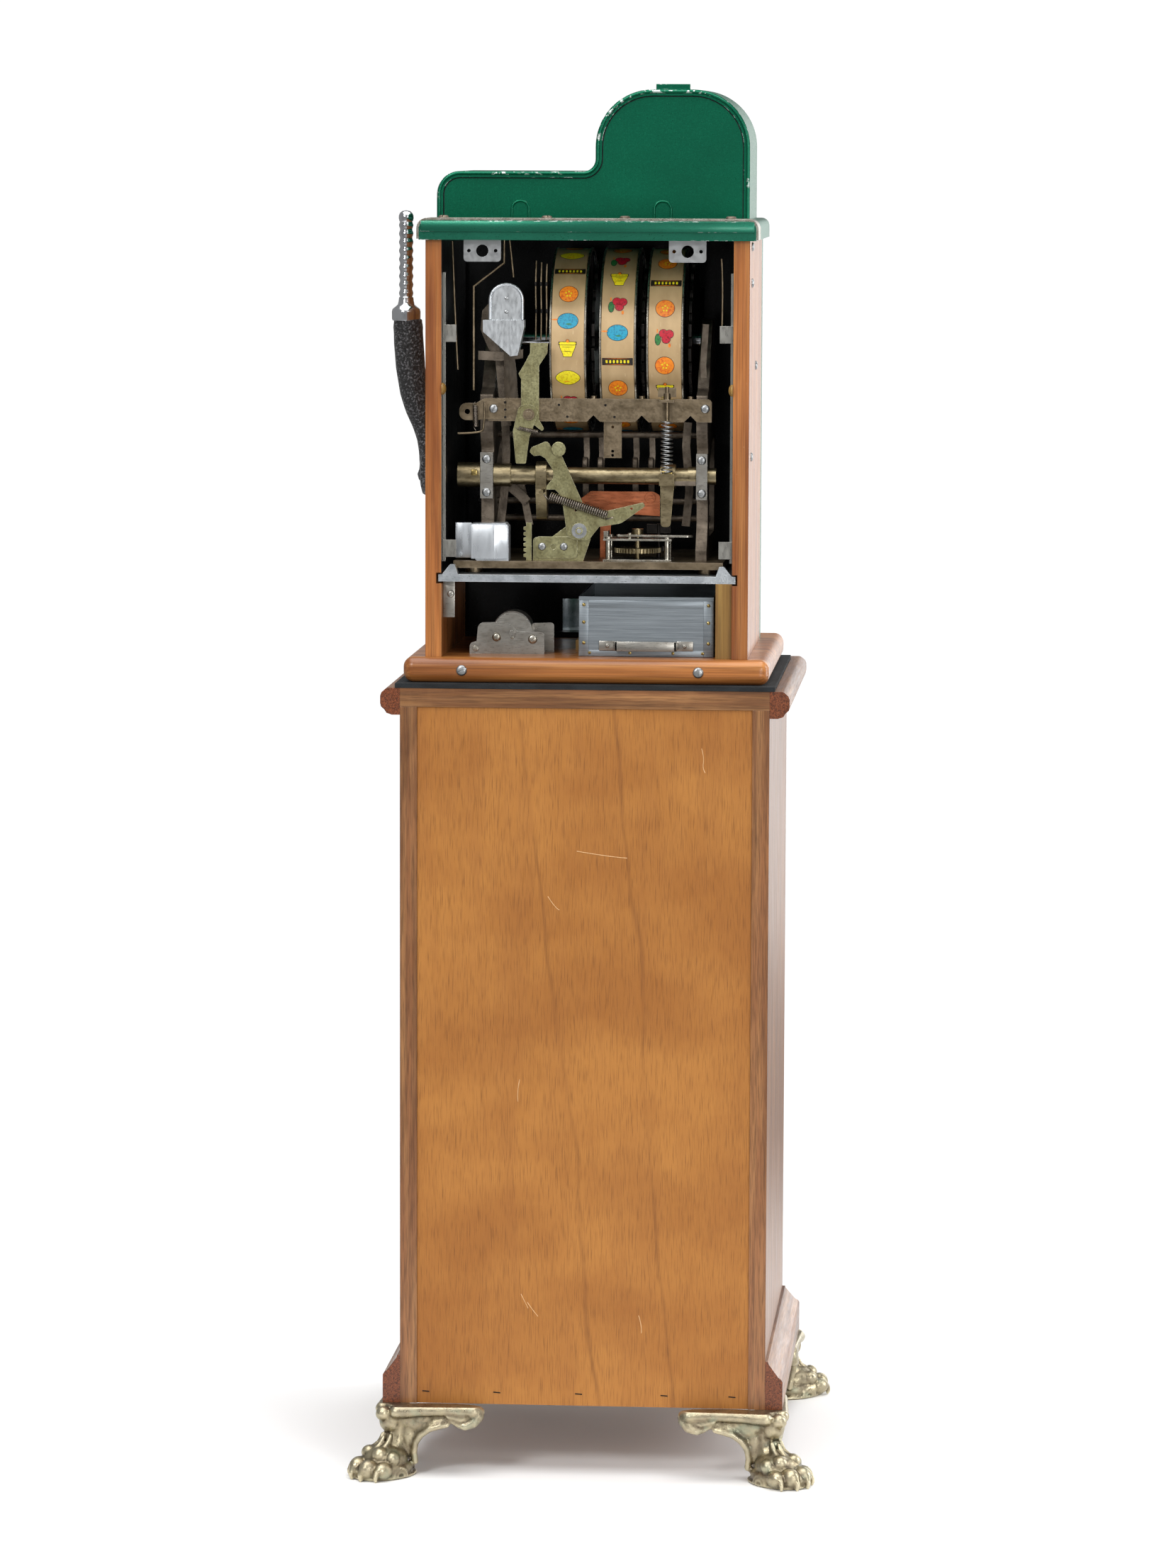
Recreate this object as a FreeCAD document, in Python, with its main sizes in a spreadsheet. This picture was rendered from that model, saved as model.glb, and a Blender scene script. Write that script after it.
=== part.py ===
"""Mechanical three-reel bell machine with its back door off, standing on an oak pedestal cabinet.

The pedestal rests on four cast claw feet. The machine on it is a wooden case between a cast front, a cast
cover and an arched top casting, around a spring-driven reel mechanism on a sliding shelf, over a cash box.

Axes: +X is the handle's side, +Y points out of the open back, +Z is up. The origin is on the floor, under
the middle of the four feet. Lengths are millimetres.
"""
import FreeCAD, Part
import math
import os
import Sketcher

V = FreeCAD.Vector
DOC = FreeCAD.newDocument("reel_machine")
SHEET = DOC.addObject("Spreadsheet::Sheet", "sizes")

SIZES = {
    # pedestal cabinet
    "foot_height": 80, "stand_width": 410, "stand_depth": 432, "stand_height": 785, "board_thick": 19,
    "top_board_thick": 21, "back_panel_thick": 6, "back_panel_recess": 2, "stile_width": 50,
    "bottom_rail": 72, "top_rail": 60, "door_gap": 2, "crown_out": 22, "crown_height": 30,
    "skirt_out": 19.5, "skirt_height": 54.5,
    # claw feet
    "wing_length": 105, "wing_drop": 29, "wing_thick": 12, "foot_out": 13, "leg_radius": 15.5,
    "paw_length": 34, "paw_width": 30, "paw_height": 40.5, "paw_out": 24,
    # mat, base board and case
    "mat_width": 421, "mat_depth": 405, "mat_thick": 5, "mat_behind": 1,
    "base_width": 406.4, "base_depth": 375, "base_thick": 28, "base_rear": 204, "base_round": 11,
    "case_width": 358, "side_thick": 18, "side_depth": 267, "side_height": 461, "side_rear": 194,
    "front_reach": 27, "front_wall": 6, "glass_thick": 3, "glass_lap": 8, "window_height": 96,
    "cup_width": 120, "cup_reach": 55, "cup_height": 49, "cup_wall": 5,
    # cover and top casting
    "cover_over": 7, "cover_height": 21.5, "cover_ahead": 8, "cover_rim": 25, "cover_skin": 6,
    "cover_round": 9, "trim_thick": 2.5, "trim_depth": 50,
    "arch_wall": 5, "arch_back_thick": 6, "arch_rim": 7, "arch_rim_high": 2.5, "arch_back_y": 54,
    "arch_left": 180, "arch_right": 171.7, "arch_step": 1.4, "arch_low": 53, "arch_high": 144.5,
    "arch_round": 64, "arch_low_round": 26, "lug_width": 41.3, "lug_height": 24, "lug_thick": 4,
    "lug_bore": 6.8, "lug_left_x": 116.8, "lug_right_x": 109.9, "lug_inset": 7,
    # shelf and cash bay
    "bay_height": 83.5, "shelf_thick": 8, "slot_deep": 6, "slot_gap": 2, "shelf_front_gap": 12,
    "box_left": 10, "box_right": 139.9, "box_height": 66.4, "box_depth": 210, "box_wall": 1.5,
    "box_rear": 170, "slide_gap": 0.3, "guide_gap": 3,
    # mechanism frame
    "pad_height": 6, "mech_width": 300, "mech_rear": 172, "mech_depth": 212, "mech_thick": 8,
    "frame_left_x": 109.3, "frame_left_thick": 14, "frame_right_gap": 15.7, "frame_right_thick": 12.3,
    "tie_rise": 154, "tie_height": 25.5, "tie_thick": 6, "tie_y": 139,
    # reels
    "reel_rise": 241, "reel_y": 28, "reel_radius": 102.5, "reel_width": 41.4, "reel_wall": 1.5,
    "rim_height": 7.5, "rim_thick": 2.75, "reel_one_x": 26.8, "reel_gap_one": 14.2,
    "reel_gap_two": 11.2,
    "star_radius": 88, "star_thick": 3, "star_gap": 5, "hub_radius": 13, "reel_shaft_radius": 8,
    "running_gap": 0.05,
    # main shaft, handle
    "shaft_rise": 93, "shaft_y": 125, "shaft_radius": 9.3, "collar_radius": 14, "shaft_left": 149.3,
    "shaft_right_out": 9.4, "cap_height": 51, "cap_thick": 14, "handle_rise": 88.5, "handle_y": 0,
    "handle_bar": 9, "hub_gap": 3, "grip_radius": 8.5, "grip_length": 103, "handle_out": 57,
    # levers and governor
    "lever_thick": 3, "lever_y": 163.5, "hook_x": 10.1, "hook_rise": 34, "latch_x": 68,
    "latch_rise": 161.8,
    "clock_x": 53, "clock_y": 140, "clock_high": 25, "plate_thick": 2, "gear_radius": 26,
    "pinion_radius": 6, "arm_x": 86, "arm_width": 16.7, "arm_long": 55.7, "spring_radius": 7,
}


class Size:
    """A length together with the spreadsheet formula that gives it."""

    def __init__(self, value, formula):
        self.value = value
        self.formula = formula

    def join(self, other, sign, result):
        text = other.formula if isinstance(other, Size) else repr(other)
        return Size(result, f"({self.formula} {sign} {text})")

    def __add__(self, other):
        return self.join(other, "+", self.value + number(other))

    def __sub__(self, other):
        return self.join(other, "-", self.value - number(other))

    def __mul__(self, other):
        return self.join(other, "*", self.value * number(other))

    def __truediv__(self, other):
        return self.join(other, "/", self.value / number(other))

    def __neg__(self):
        return Size(-self.value, f"(0 - {self.formula})")

    __radd__ = __add__
    __rmul__ = __mul__

    def __rsub__(self, other):
        return Size(other - self.value, f"({other!r} - {self.formula})")


class Names:
    """The sheet's sizes as attributes."""


def number(size):
    return size.value if isinstance(size, Size) else size


def fill_sheet():
    names = Names()
    for row, (name, value) in enumerate(SIZES.items(), start=1):
        SHEET.set(f"A{row}", name)
        SHEET.set(f"B{row}", str(value))
        SHEET.setAlias(f"B{row}", name)
    DOC.recompute()
    for name in SIZES:
        setattr(names, name, Size(float(SHEET.get(name)), f"sizes.{name}"))
    return names


S = fill_sheet()
NODES = {}


def keep(label, item):
    """Give a finished sub-part its name."""
    item.Label = label
    NODES[label] = item
    return item


def bind(item, path, size):
    if isinstance(size, Size):
        item.setExpression(path, size.formula)
    return number(size)


def place(item, at):
    item.Placement.Base = V(*[number(c) for c in at])
    for axis, value in zip("xyz", at):
        bind(item, f"Placement.Base.{axis}", value)


def block(x, y, z):
    """A box between pairs of limits."""
    item = DOC.addObject("Part::Box", "block")
    for name, (low, high) in zip(("Length", "Width", "Height"), (x, y, z)):
        gap = high - low
        setattr(item, name, number(gap))
        bind(item, name, gap)
    place(item, (x[0], y[0], z[0]))
    return item


TURNS = {"X": (V(0, 1, 0), 90), "Y": (V(1, 0, 0), -90), "Z": (V(0, 0, 1), 0)}


def turned(item, axis, at):
    item.Placement = FreeCAD.Placement(V(), FreeCAD.Rotation(*TURNS[axis]))
    place(item, at)
    return item


def rod(axis, at, length, radius):
    """A cylinder that starts at a point and runs along +X, +Y or +Z."""
    item = DOC.addObject("Part::Cylinder", "rod")
    item.Radius = bind(item, "Radius", radius)
    item.Height = bind(item, "Height", length)
    return turned(item, axis, at)


def cone(axis, at, length, radius, end_radius):
    item = DOC.addObject("Part::Cone", "cone")
    item.Radius1 = bind(item, "Radius1", radius)
    item.Radius2 = bind(item, "Radius2", end_radius)
    item.Height = bind(item, "Height", length)
    return turned(item, axis, at)


def fuse(*items):
    item = DOC.addObject("Part::MultiFuse", "joined")
    item.Shapes = list(items)
    return item


def cut(base, *tools):
    item = DOC.addObject("Part::Cut", "cut")
    item.Base = base
    item.Tool = tools[0] if len(tools) == 1 else fuse(*tools)
    return item


def group(*items):
    item = DOC.addObject("Part::Compound", "group")
    item.Links = list(items)
    return item


def ring(axis, at, length, radius, bore):
    return cut(rod(axis, at, length, radius), rod(axis, at, length, bore))


def sketch_on(body, plane):
    sketch = body.newObject("Sketcher::SketchObject", "sketch")
    support = [f for f in body.Origin.OriginFeatures if f.Role == plane + "_Plane"][0]
    sketch.AttachmentSupport = [(support, "")]
    sketch.MapMode = "FlatFace"
    return sketch


def pin_point(sketch, geometry, point, place_2d):
    for kind, size in zip(("DistanceX", "DistanceY"), place_2d):
        index = sketch.addConstraint(Sketcher.Constraint(kind, -1, 1, geometry, point, number(size)))
        bind(sketch, f"Constraints[{index}]", size)


def draw_polygon(sketch, points):
    flat = [V(number(p[0]), number(p[1]), 0) for p in points]
    count = len(flat)
    for i in range(count):
        sketch.addGeometry(Part.LineSegment(flat[i], flat[(i + 1) % count]))
    for i in range(count):
        sketch.addConstraint(Sketcher.Constraint("Coincident", i, 2, (i + 1) % count, 1))
    for i, point in enumerate(points):
        pin_point(sketch, i, 1, point[:2])


def draw_circle(sketch, centre, radius):
    flat = V(number(centre[0]), number(centre[1]), 0)
    index = sketch.addGeometry(Part.Circle(flat, V(0, 0, 1), number(radius)))
    pin_point(sketch, index, 3, centre)
    bound = sketch.addConstraint(Sketcher.Constraint("Radius", index, number(radius)))
    bind(sketch, f"Constraints[{bound}]", radius)


FLAT = {"XY": (0, 1, 2), "XZ": (0, 2, 1), "YZ": (1, 2, 0)}


def corner_edges(shape, plane, points):
    """Names of the straight edges that stand on the given corners of an outline."""
    a, b, _ = FLAT[plane]
    names = []
    for index, edge in enumerate(shape.Edges, start=1):
        if len(edge.Vertexes) != 2:
            continue
        ends = [vertex.Point for vertex in edge.Vertexes]
        for point in points:
            if all(abs(e[a] - number(point[0])) + abs(e[b] - number(point[1])) < 0.001 for e in ends):
                names.append(f"Edge{index}")
    return names


def plate(plane, outline, low, high, holes=()):
    """A flat piece: an outline, with an optional radius at each corner, and round holes."""
    body = DOC.addObject("PartDesign::Body", "plate")
    sketch = sketch_on(body, plane)
    draw_polygon(sketch, outline)
    for hole in holes:
        draw_circle(sketch, hole[:2], hole[2])
    pad = body.newObject("PartDesign::Pad", "pad")
    pad.Profile = sketch
    pad.Length = number(high - low)
    bind(pad, "Length", high - low)
    DOC.recompute()
    last = pad
    for radius in sorted({number(p[2]) for p in outline if len(p) > 2}):
        rounded = [p for p in outline if len(p) > 2 and number(p[2]) == radius]
        edges = corner_edges(last.Shape, plane, rounded)
        fillet = body.newObject("PartDesign::Fillet", "fillet")
        fillet.Base = (last, edges)
        fillet.Radius = radius
        bind(fillet, "Radius", rounded[0][2])
        DOC.recompute()
        last = fillet
    at = [0, 0, 0]
    at[FLAT[plane][2]] = high if plane == "XZ" else low
    place(body, at)
    return body


# Levels and faces that several sub-parts share.
STAND_X = S.stand_width / 2
STAND_Y = S.stand_depth / 2
STAND_TOP = S.foot_height + S.stand_height
MAT_Z = STAND_TOP + S.top_board_thick
BASE_Z = MAT_Z + S.mat_thick
BASE_TOP = BASE_Z + S.base_thick
CASE_X = S.case_width / 2
BAY_X = CASE_X - S.side_thick
CASE_TOP = BASE_TOP + S.side_height
CASE_FRONT = S.side_rear - S.side_depth
COVER_X = CASE_X + S.cover_over
COVER_TOP = CASE_TOP + S.cover_height
COVER_REAR = S.side_rear + 6
COVER_FRONT = CASE_FRONT - S.front_reach - S.cover_ahead
SHELF_Z = BASE_TOP + S.bay_height
SHELF_TOP = SHELF_Z + S.shelf_thick
MECH_Z = SHELF_TOP + S.pad_height
MECH_TOP = MECH_Z + S.mech_thick
SHAFT_Z = MECH_TOP + S.shaft_rise
REEL_Z = MECH_TOP + S.reel_rise
TIE_Z = MECH_TOP + S.tie_rise
TIE_TOP = TIE_Z + S.tie_height
TIE_BACK = S.tie_y + S.tie_thick
HANDLE_Z = MECH_TOP + S.handle_rise
REEL_TWO_X = S.reel_one_x - S.reel_width - S.reel_gap_one
REEL_X = [S.reel_one_x, REEL_TWO_X, REEL_TWO_X - S.reel_width - S.reel_gap_two]
REEL_MIDDLE = (REEL_X[0] + REEL_X[2]) / 2
FRAME_RIGHT_X = REEL_X[2] - S.reel_width / 2 - S.frame_right_gap - S.frame_right_thick
FRAMES = {"left": (S.frame_left_x, S.frame_left_thick), "right": (FRAME_RIGHT_X, S.frame_right_thick)}


def pedestal():
    inner_x = STAND_X - S.board_thick
    front = -STAND_Y
    behind_frame = front + S.board_thick
    panel_rear = STAND_Y - S.back_panel_recess
    panel_front = panel_rear - S.back_panel_thick
    for name, limits in (("left", (inner_x, STAND_X)), ("right", (-STAND_X, -inner_x))):
        keep(f"stand_side_{name}", block(limits, (behind_frame, STAND_Y), (S.foot_height, STAND_TOP)))
    keep("stand_back_panel", block((-inner_x, inner_x), (panel_front, panel_rear),
                                   (S.foot_height, STAND_TOP)))
    keep("stand_bottom_board", block((-inner_x, inner_x), (behind_frame, panel_front),
                                     (S.foot_height, S.foot_height + S.board_thick)))
    keep("stand_top_board", block((-STAND_X, STAND_X), (front, STAND_Y), (STAND_TOP, MAT_Z)))
    open_x = STAND_X - S.stile_width
    open_low = S.foot_height + S.bottom_rail
    open_high = STAND_TOP - S.top_rail
    frame = block((-STAND_X, STAND_X), (front, behind_frame), (S.foot_height, STAND_TOP))
    opening = block((-open_x, open_x), (front - 1, behind_frame + 1), (open_low, open_high))
    keep("stand_front_frame", cut(frame, opening))
    stand_door(open_x - S.door_gap, front, behind_frame,
               (open_low + S.door_gap, open_high - S.door_gap))


def stand_door(half, front, back, levels):
    """A framed door: the raised panel stands back from its rails, in one piece with them."""
    rail = 45
    door = block((-half, half), (front, back), levels)
    inside = (levels[0] + rail, levels[1] - rail)
    recess = block((-half + rail, half - rail), (front - 1, front + 6), inside)
    keep("stand_door", cut(door, recess))
    barrel = 4
    hinges = []
    for level in (levels[0] + 90, levels[1] - 150):
        pin = rod("Z", (half + 1, front - barrel - 0.3, level), 60, barrel)
        leaf = block((half - 24, half + 1), (front - 2, front), (level, level + 60))
        hinges.append(fuse(pin, leaf))
    knob_z = (levels[0] + levels[1]) / 2
    knob = fuse(rod("Y", (-half + 22, front - 12, knob_z), 12, 5),
                rod("Y", (-half + 22, front - 26, knob_z), 16, 13))
    keep("stand_door_fittings", group(knob, *hinges))


def moulding(name, low, high, out, step_low, step_high, step_out):
    """A stepped strip around the sides and the front, open at the back."""
    parts = []
    for reach, levels in ((out, (low, high)), (step_out, (step_low, step_high))):
        parts.append(block((-STAND_X - reach, STAND_X + reach), (-STAND_Y - reach, STAND_Y), levels))
    core = block((-STAND_X, STAND_X), (-STAND_Y, STAND_Y + 1), (step_low - 40, high + 40))
    keep(name, cut(fuse(*parts), core))


def mouldings():
    crown_low = MAT_Z - S.crown_height
    moulding("crown_moulding", crown_low + S.crown_height / 2, MAT_Z, S.crown_out, crown_low, MAT_Z,
             S.crown_out / 2)
    skirt_top = S.foot_height + S.skirt_height
    moulding("base_moulding", S.foot_height, skirt_top - 12, S.skirt_out, S.foot_height, skirt_top,
             S.skirt_out / 2)


def claw_foot(name, side, end):
    """A cast foot: two wings under the cabinet's corner, a leg and a paw that points out at 45 degrees."""
    corner = (side * (STAND_X + S.foot_out), end * (STAND_Y + 3))
    wings = []
    for plane, along, across, turn in (("XZ", corner[0], corner[1], side),
                                       ("YZ", corner[1], corner[0], end)):
        top = S.foot_height
        tip = along - turn * S.wing_length
        outline = [(along, top), (tip, top), (tip + turn * 6, top - S.wing_drop / 3, 3),
                   (along - turn * 45, top - S.wing_drop), (along, top - S.wing_drop)]
        inward = across - (end if plane == "XZ" else side) * S.wing_thick
        limits = (inward, across) if number(inward) < number(across) else (across, inward)
        wings.append(plate(plane, outline, *limits))
    leg_at = (corner[0] - side * 6, corner[1] - end * 5)
    leg = cone("Z", (leg_at[0], leg_at[1], S.paw_height / 2), S.foot_height - S.paw_height / 2,
               S.leg_radius, S.leg_radius * 1.4)
    paw = DOC.addObject("Part::Ellipsoid", "paw")
    paw.Radius1 = bind(paw, "Radius1", S.paw_height / 2 + 1)
    paw.Radius2 = bind(paw, "Radius2", S.paw_length)
    paw.Radius3 = bind(paw, "Radius3", S.paw_width)
    paw.Placement = FreeCAD.Placement(V(), FreeCAD.Rotation(V(0, 0, 1), 45 * side * end))
    paw_at = (side * (STAND_X + S.paw_out), end * (STAND_Y + S.paw_out - 8))
    place(paw, (paw_at[0], paw_at[1], S.paw_height / 2))
    span = S.paw_length * 2
    above = block((paw_at[0] - span, paw_at[0] + span), (paw_at[1] - span, paw_at[1] + span),
                  (S.foot_height * 0, S.foot_height))
    sole = DOC.addObject("Part::Common", "sole")
    sole.Base = paw
    sole.Tool = above
    keep(name, fuse(*wings, leg, sole))


def feet():
    for end_name, end in (("rear", 1), ("front", -1)):
        for side_name, side in (("left", 1), ("right", -1)):
            claw_foot(f"claw_foot_{end_name}_{side_name}", side, end)


def rounded_board(x, y, z, radius):
    body = DOC.addObject("PartDesign::Body", "board")
    sketch = sketch_on(body, "XY")
    draw_polygon(sketch, [(x[0], y[0]), (x[1], y[0]), (x[1], y[1]), (x[0], y[1])])
    pad = body.newObject("PartDesign::Pad", "pad")
    pad.Profile = sketch
    pad.Length = number(z[1] - z[0])
    bind(pad, "Length", z[1] - z[0])
    DOC.recompute()
    fillet = body.newObject("PartDesign::Fillet", "bullnose")
    fillet.Base = (pad, [f"Edge{i + 1}" for i in range(12)])
    fillet.Radius = number(radius)
    bind(fillet, "Radius", radius)
    place(body, (0, 0, z[0]))
    return body


def case():
    mat_rear = STAND_Y + S.mat_behind
    keep("machine_mat", block((-S.mat_width / 2, S.mat_width / 2), (mat_rear - S.mat_depth, mat_rear),
                              (MAT_Z, BASE_Z)))
    base_x = (-S.base_width / 2, S.base_width / 2)
    keep("base_board", rounded_board(base_x, (S.base_rear - S.base_depth, S.base_rear),
                                     (BASE_Z, BASE_TOP), S.base_round))
    slot_z = (SHELF_Z - S.slot_gap, SHELF_TOP + S.slot_gap)
    for name, side in (("left", 1), ("right", -1)):
        x = (BAY_X, CASE_X) if side > 0 else (-CASE_X, -BAY_X)
        board = block(x, (CASE_FRONT, S.side_rear), (BASE_TOP, CASE_TOP))
        slot_x = (BAY_X - 1, BAY_X + S.slot_deep) if side > 0 else (-BAY_X - S.slot_deep, 1 - BAY_X)
        cuts = [block(slot_x, (S.side_rear - 26, S.side_rear + 1), slot_z)]
        if side > 0:
            bore = S.handle_bar + S.running_gap * 2
            cuts.append(rod("X", (BAY_X - 1, S.handle_y, HANDLE_Z), S.side_thick + 2, bore))
        keep(f"cabinet_side_{name}", cut(board, *cuts))
    front_casting()
    payout_cup()


def front_casting():
    front = CASE_FRONT - S.front_reach
    shell = block((-CASE_X, CASE_X), (front, CASE_FRONT), (BASE_TOP, CASE_TOP))
    wall = S.front_wall
    hollow = block((wall - CASE_X, CASE_X - wall), (front + wall, CASE_FRONT + 1),
                   (BASE_TOP + wall, CASE_TOP - wall))
    half = (REEL_X[0] - REEL_X[2]) / 2 + S.reel_width / 2 + 3
    levels = (REEL_Z - S.window_height / 2, REEL_Z + S.window_height / 2)
    window = block((REEL_MIDDLE - half, REEL_MIDDLE + half), (front - 1, front + wall + 1), levels)
    mouth_x = S.cup_width / 2 - S.cup_wall * 2
    mouth = block((-mouth_x, mouth_x), (front - 1, front + wall + 1),
                  (BASE_TOP + wall, BASE_TOP + S.cup_height - wall))
    keep("front_casting", cut(shell, hollow, window, mouth))
    lap = S.glass_lap
    glass_y = (front + wall, front + wall + S.glass_thick)
    keep("reel_glass", block((REEL_MIDDLE - half - lap, REEL_MIDDLE + half + lap), glass_y,
                             (levels[0] - lap, levels[1] + lap)))


def payout_cup():
    back = CASE_FRONT - S.front_reach
    wall = S.cup_wall

    def bowl(inset, low, high):
        x = S.cup_width / 2 - inset
        y = back - S.cup_reach + inset
        return plate("XY", [(-x, back), (x, back), (x, y, 24 - inset), (-x, y, 24 - inset)], low, high)

    keep("payout_cup", cut(bowl(0, BASE_TOP, BASE_TOP + S.cup_height),
                           bowl(wall, BASE_TOP + wall, BASE_TOP + S.cup_height + 1)))


def cover():
    outline = [(-COVER_X, CASE_TOP), (COVER_X, CASE_TOP), (COVER_X, COVER_TOP, S.cover_round),
               (-COVER_X, COVER_TOP, S.cover_round)]
    lid = plate("XZ", outline, COVER_FRONT, COVER_REAR)
    hollow = block((-BAY_X, BAY_X), (COVER_FRONT + S.cover_rim, COVER_REAR - S.cover_rim),
                   (CASE_TOP - 1, COVER_TOP - S.cover_skin))
    keep("top_cover", cut(lid, hollow))
    thick = S.trim_thick
    outer = S.cover_round + thick
    top = COVER_TOP + thick
    strip = [(-COVER_X - thick, CASE_TOP + 1), (-COVER_X, CASE_TOP + 1),
             (-COVER_X, COVER_TOP, S.cover_round),
             (COVER_X, COVER_TOP, S.cover_round), (COVER_X, CASE_TOP + 1),
             (COVER_X + thick, CASE_TOP + 1),
             (COVER_X + thick, top, outer), (-COVER_X - thick, top, outer)]
    keep("top_cover_trim", plate("XZ", strip, COVER_REAR - S.trim_depth, COVER_REAR))


def arch_outline(inset, base):
    """The top casting from behind: a low shoulder on the handle's side and a tall arch on the other."""
    left = S.arch_left - inset
    right = -S.arch_right + inset
    step = S.arch_step - inset
    low = COVER_TOP + S.arch_low - inset
    high = COVER_TOP + S.arch_high - inset
    return [(right, base), (left, base), (left, low, S.arch_low_round - inset), (step, low, 14 + inset),
            (step, high, S.arch_round - inset), (right, high, S.arch_round - inset)]


def top_casting():
    back = S.arch_back_y
    front = CASE_FRONT - S.front_reach + 2
    shell = plate("XZ", arch_outline(0, COVER_TOP), front, back)
    hollow = plate("XZ", arch_outline(S.arch_wall, COVER_TOP - 1), front + S.arch_wall, back + 1)
    keep("top_casting", cut(shell, hollow))
    rear = back + S.arch_back_thick
    cover_plate = plate("XZ", arch_outline(0, COVER_TOP), back, rear)
    raised = plate("XZ", arch_outline(0, COVER_TOP), rear, rear + S.arch_rim_high)
    inside = plate("XZ", arch_outline(S.arch_rim, COVER_TOP - 1), rear - 1, rear + S.arch_rim_high + 1)
    middle = (S.arch_step - S.arch_right) / 2
    tab = block((middle - 19, middle + 19), (back, rear),
                (COVER_TOP + S.arch_high - 2, COVER_TOP + S.arch_high + 6))
    keep("top_casting_back", fuse(cover_plate, cut(raised, inside), tab))


def door_lugs():
    lugs = []
    rear = S.side_rear - S.lug_inset
    for x in (S.lug_left_x, -S.lug_right_x):
        half = S.lug_width / 2
        low = CASE_TOP - S.lug_height
        outline = [(x - half, low, 4), (x + half, low, 4), (x + half, CASE_TOP), (x - half, CASE_TOP)]
        middle = low + S.lug_height / 2
        holes = [(x, middle, S.lug_bore), (x - 14.8, middle, 2), (x + 14.8, middle, 2)]
        lugs.append(plate("XZ", outline, rear - S.lug_thick, rear, holes))
    keep("door_lugs", group(*lugs))


def shelf():
    rear = S.side_rear - 4
    front = CASE_FRONT + S.shelf_front_gap
    tray = block((-BAY_X, BAY_X), (front, rear), (SHELF_Z, SHELF_TOP))
    parts = [tray]
    for side in (1, -1):
        inner = side * (BAY_X - 18)
        ear = [(inner, SHELF_TOP), (inner + side * 4, SHELF_TOP + 11, 2),
               (inner + side * 9, SHELF_TOP + 11, 2),
               (side * BAY_X, SHELF_TOP)]
        parts.append(plate("XZ", ear, rear - 12, rear))
        tongue = (BAY_X - 1, BAY_X + S.slot_deep - 2) if side > 0 else (2 - BAY_X - S.slot_deep,
                                                                        1 - BAY_X)
        parts.append(block(tongue, (rear - 16, rear), (SHELF_Z, SHELF_TOP)))
    keep("shelf_casting", fuse(*parts))


def cash_bay():
    """The cash box with its strap handle, its guides, and the roller bracket on the floor."""
    front = S.box_rear - S.box_depth
    low = BASE_TOP + S.slide_gap
    tray = block((-S.box_right, S.box_left), (front, S.box_rear), (low, low + S.box_height))
    hollow = block((S.box_wall - S.box_right, S.box_left - S.box_wall),
                   (front + S.box_wall, S.box_rear - S.box_wall),
                   (low + S.box_wall, low + S.box_height + 1))
    middle = (S.box_left - S.box_right) / 2
    level = low + 12
    strap = block((middle - 34, middle + 34), (S.box_rear + 7, S.box_rear + 9), (level - 5, level + 5))
    feet_parts = [strap]
    for side in (-1, 1):
        edge = middle + side * 33
        foot_x = (edge, edge + 19) if side > 0 else (edge - 19, edge)
        feet_parts.append(block(foot_x, (S.box_rear, S.box_rear + 2), (level - 5, level + 5)))
        leg_x = (edge - 1, edge + 1)
        feet_parts.append(block(leg_x, (S.box_rear, S.box_rear + 9), (level - 5, level + 5)))
    keep("cash_box", group(cut(tray, hollow), fuse(*feet_parts)))
    tall = block((-BAY_X, -S.box_right - S.guide_gap), (60, S.side_rear - 4), (BASE_TOP, SHELF_Z))
    short = block((S.box_left + S.guide_gap, S.box_left + S.guide_gap + 6), (front, 100),
                  (BASE_TOP, BASE_TOP + 12))
    keep("cash_box_guides", group(tall, short))
    floor_bracket()


def floor_bracket():
    """Two plates on the base board with a roller between them."""
    low = BASE_TOP
    near = [(133.7, low), (133.7, low + 12, 5), (126, low + 14), (124, low + 35, 7), (92, low + 36, 12),
            (80, low + 25, 8),
            (50.2, low + 25, 4), (50.2, low)]
    far = [(120, low), (120, low + 30, 6), (42, low + 33, 4), (42, low)]
    plates = [plate("XZ", near, 150, 152, [(104.7, low + 18, 2.6)]), plate("XZ", far, 116, 118)]
    axle = rod("Y", (86, 114, low + 24), 42, 3)
    roller = rod("Y", (86, 118, low + 24), 32, 22)
    keep("floor_bracket", fuse(*plates, axle, roller))


def mechanism_base():
    half = S.mech_width / 2
    front = S.mech_rear - S.mech_depth
    parts = [block((-half, half), (front, S.mech_rear), (MECH_Z, MECH_TOP))]
    for x in (half - 20, 20 - half):
        for y in (front + 20, S.mech_rear - 30):
            parts.append(rod("Z", (x, y, SHELF_TOP), S.pad_height, 10))
    keep("mech_base", fuse(*parts))
    for name, (low, thick) in FRAMES.items():
        mechanism_frame(name, low, thick)
    tie_bar()
    length = S.frame_left_x + S.frame_left_thick - FRAME_RIGHT_X
    keep("reel_shaft", rod("X", (FRAME_RIGHT_X, S.reel_y, REEL_Z), length, S.reel_shaft_radius))


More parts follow.
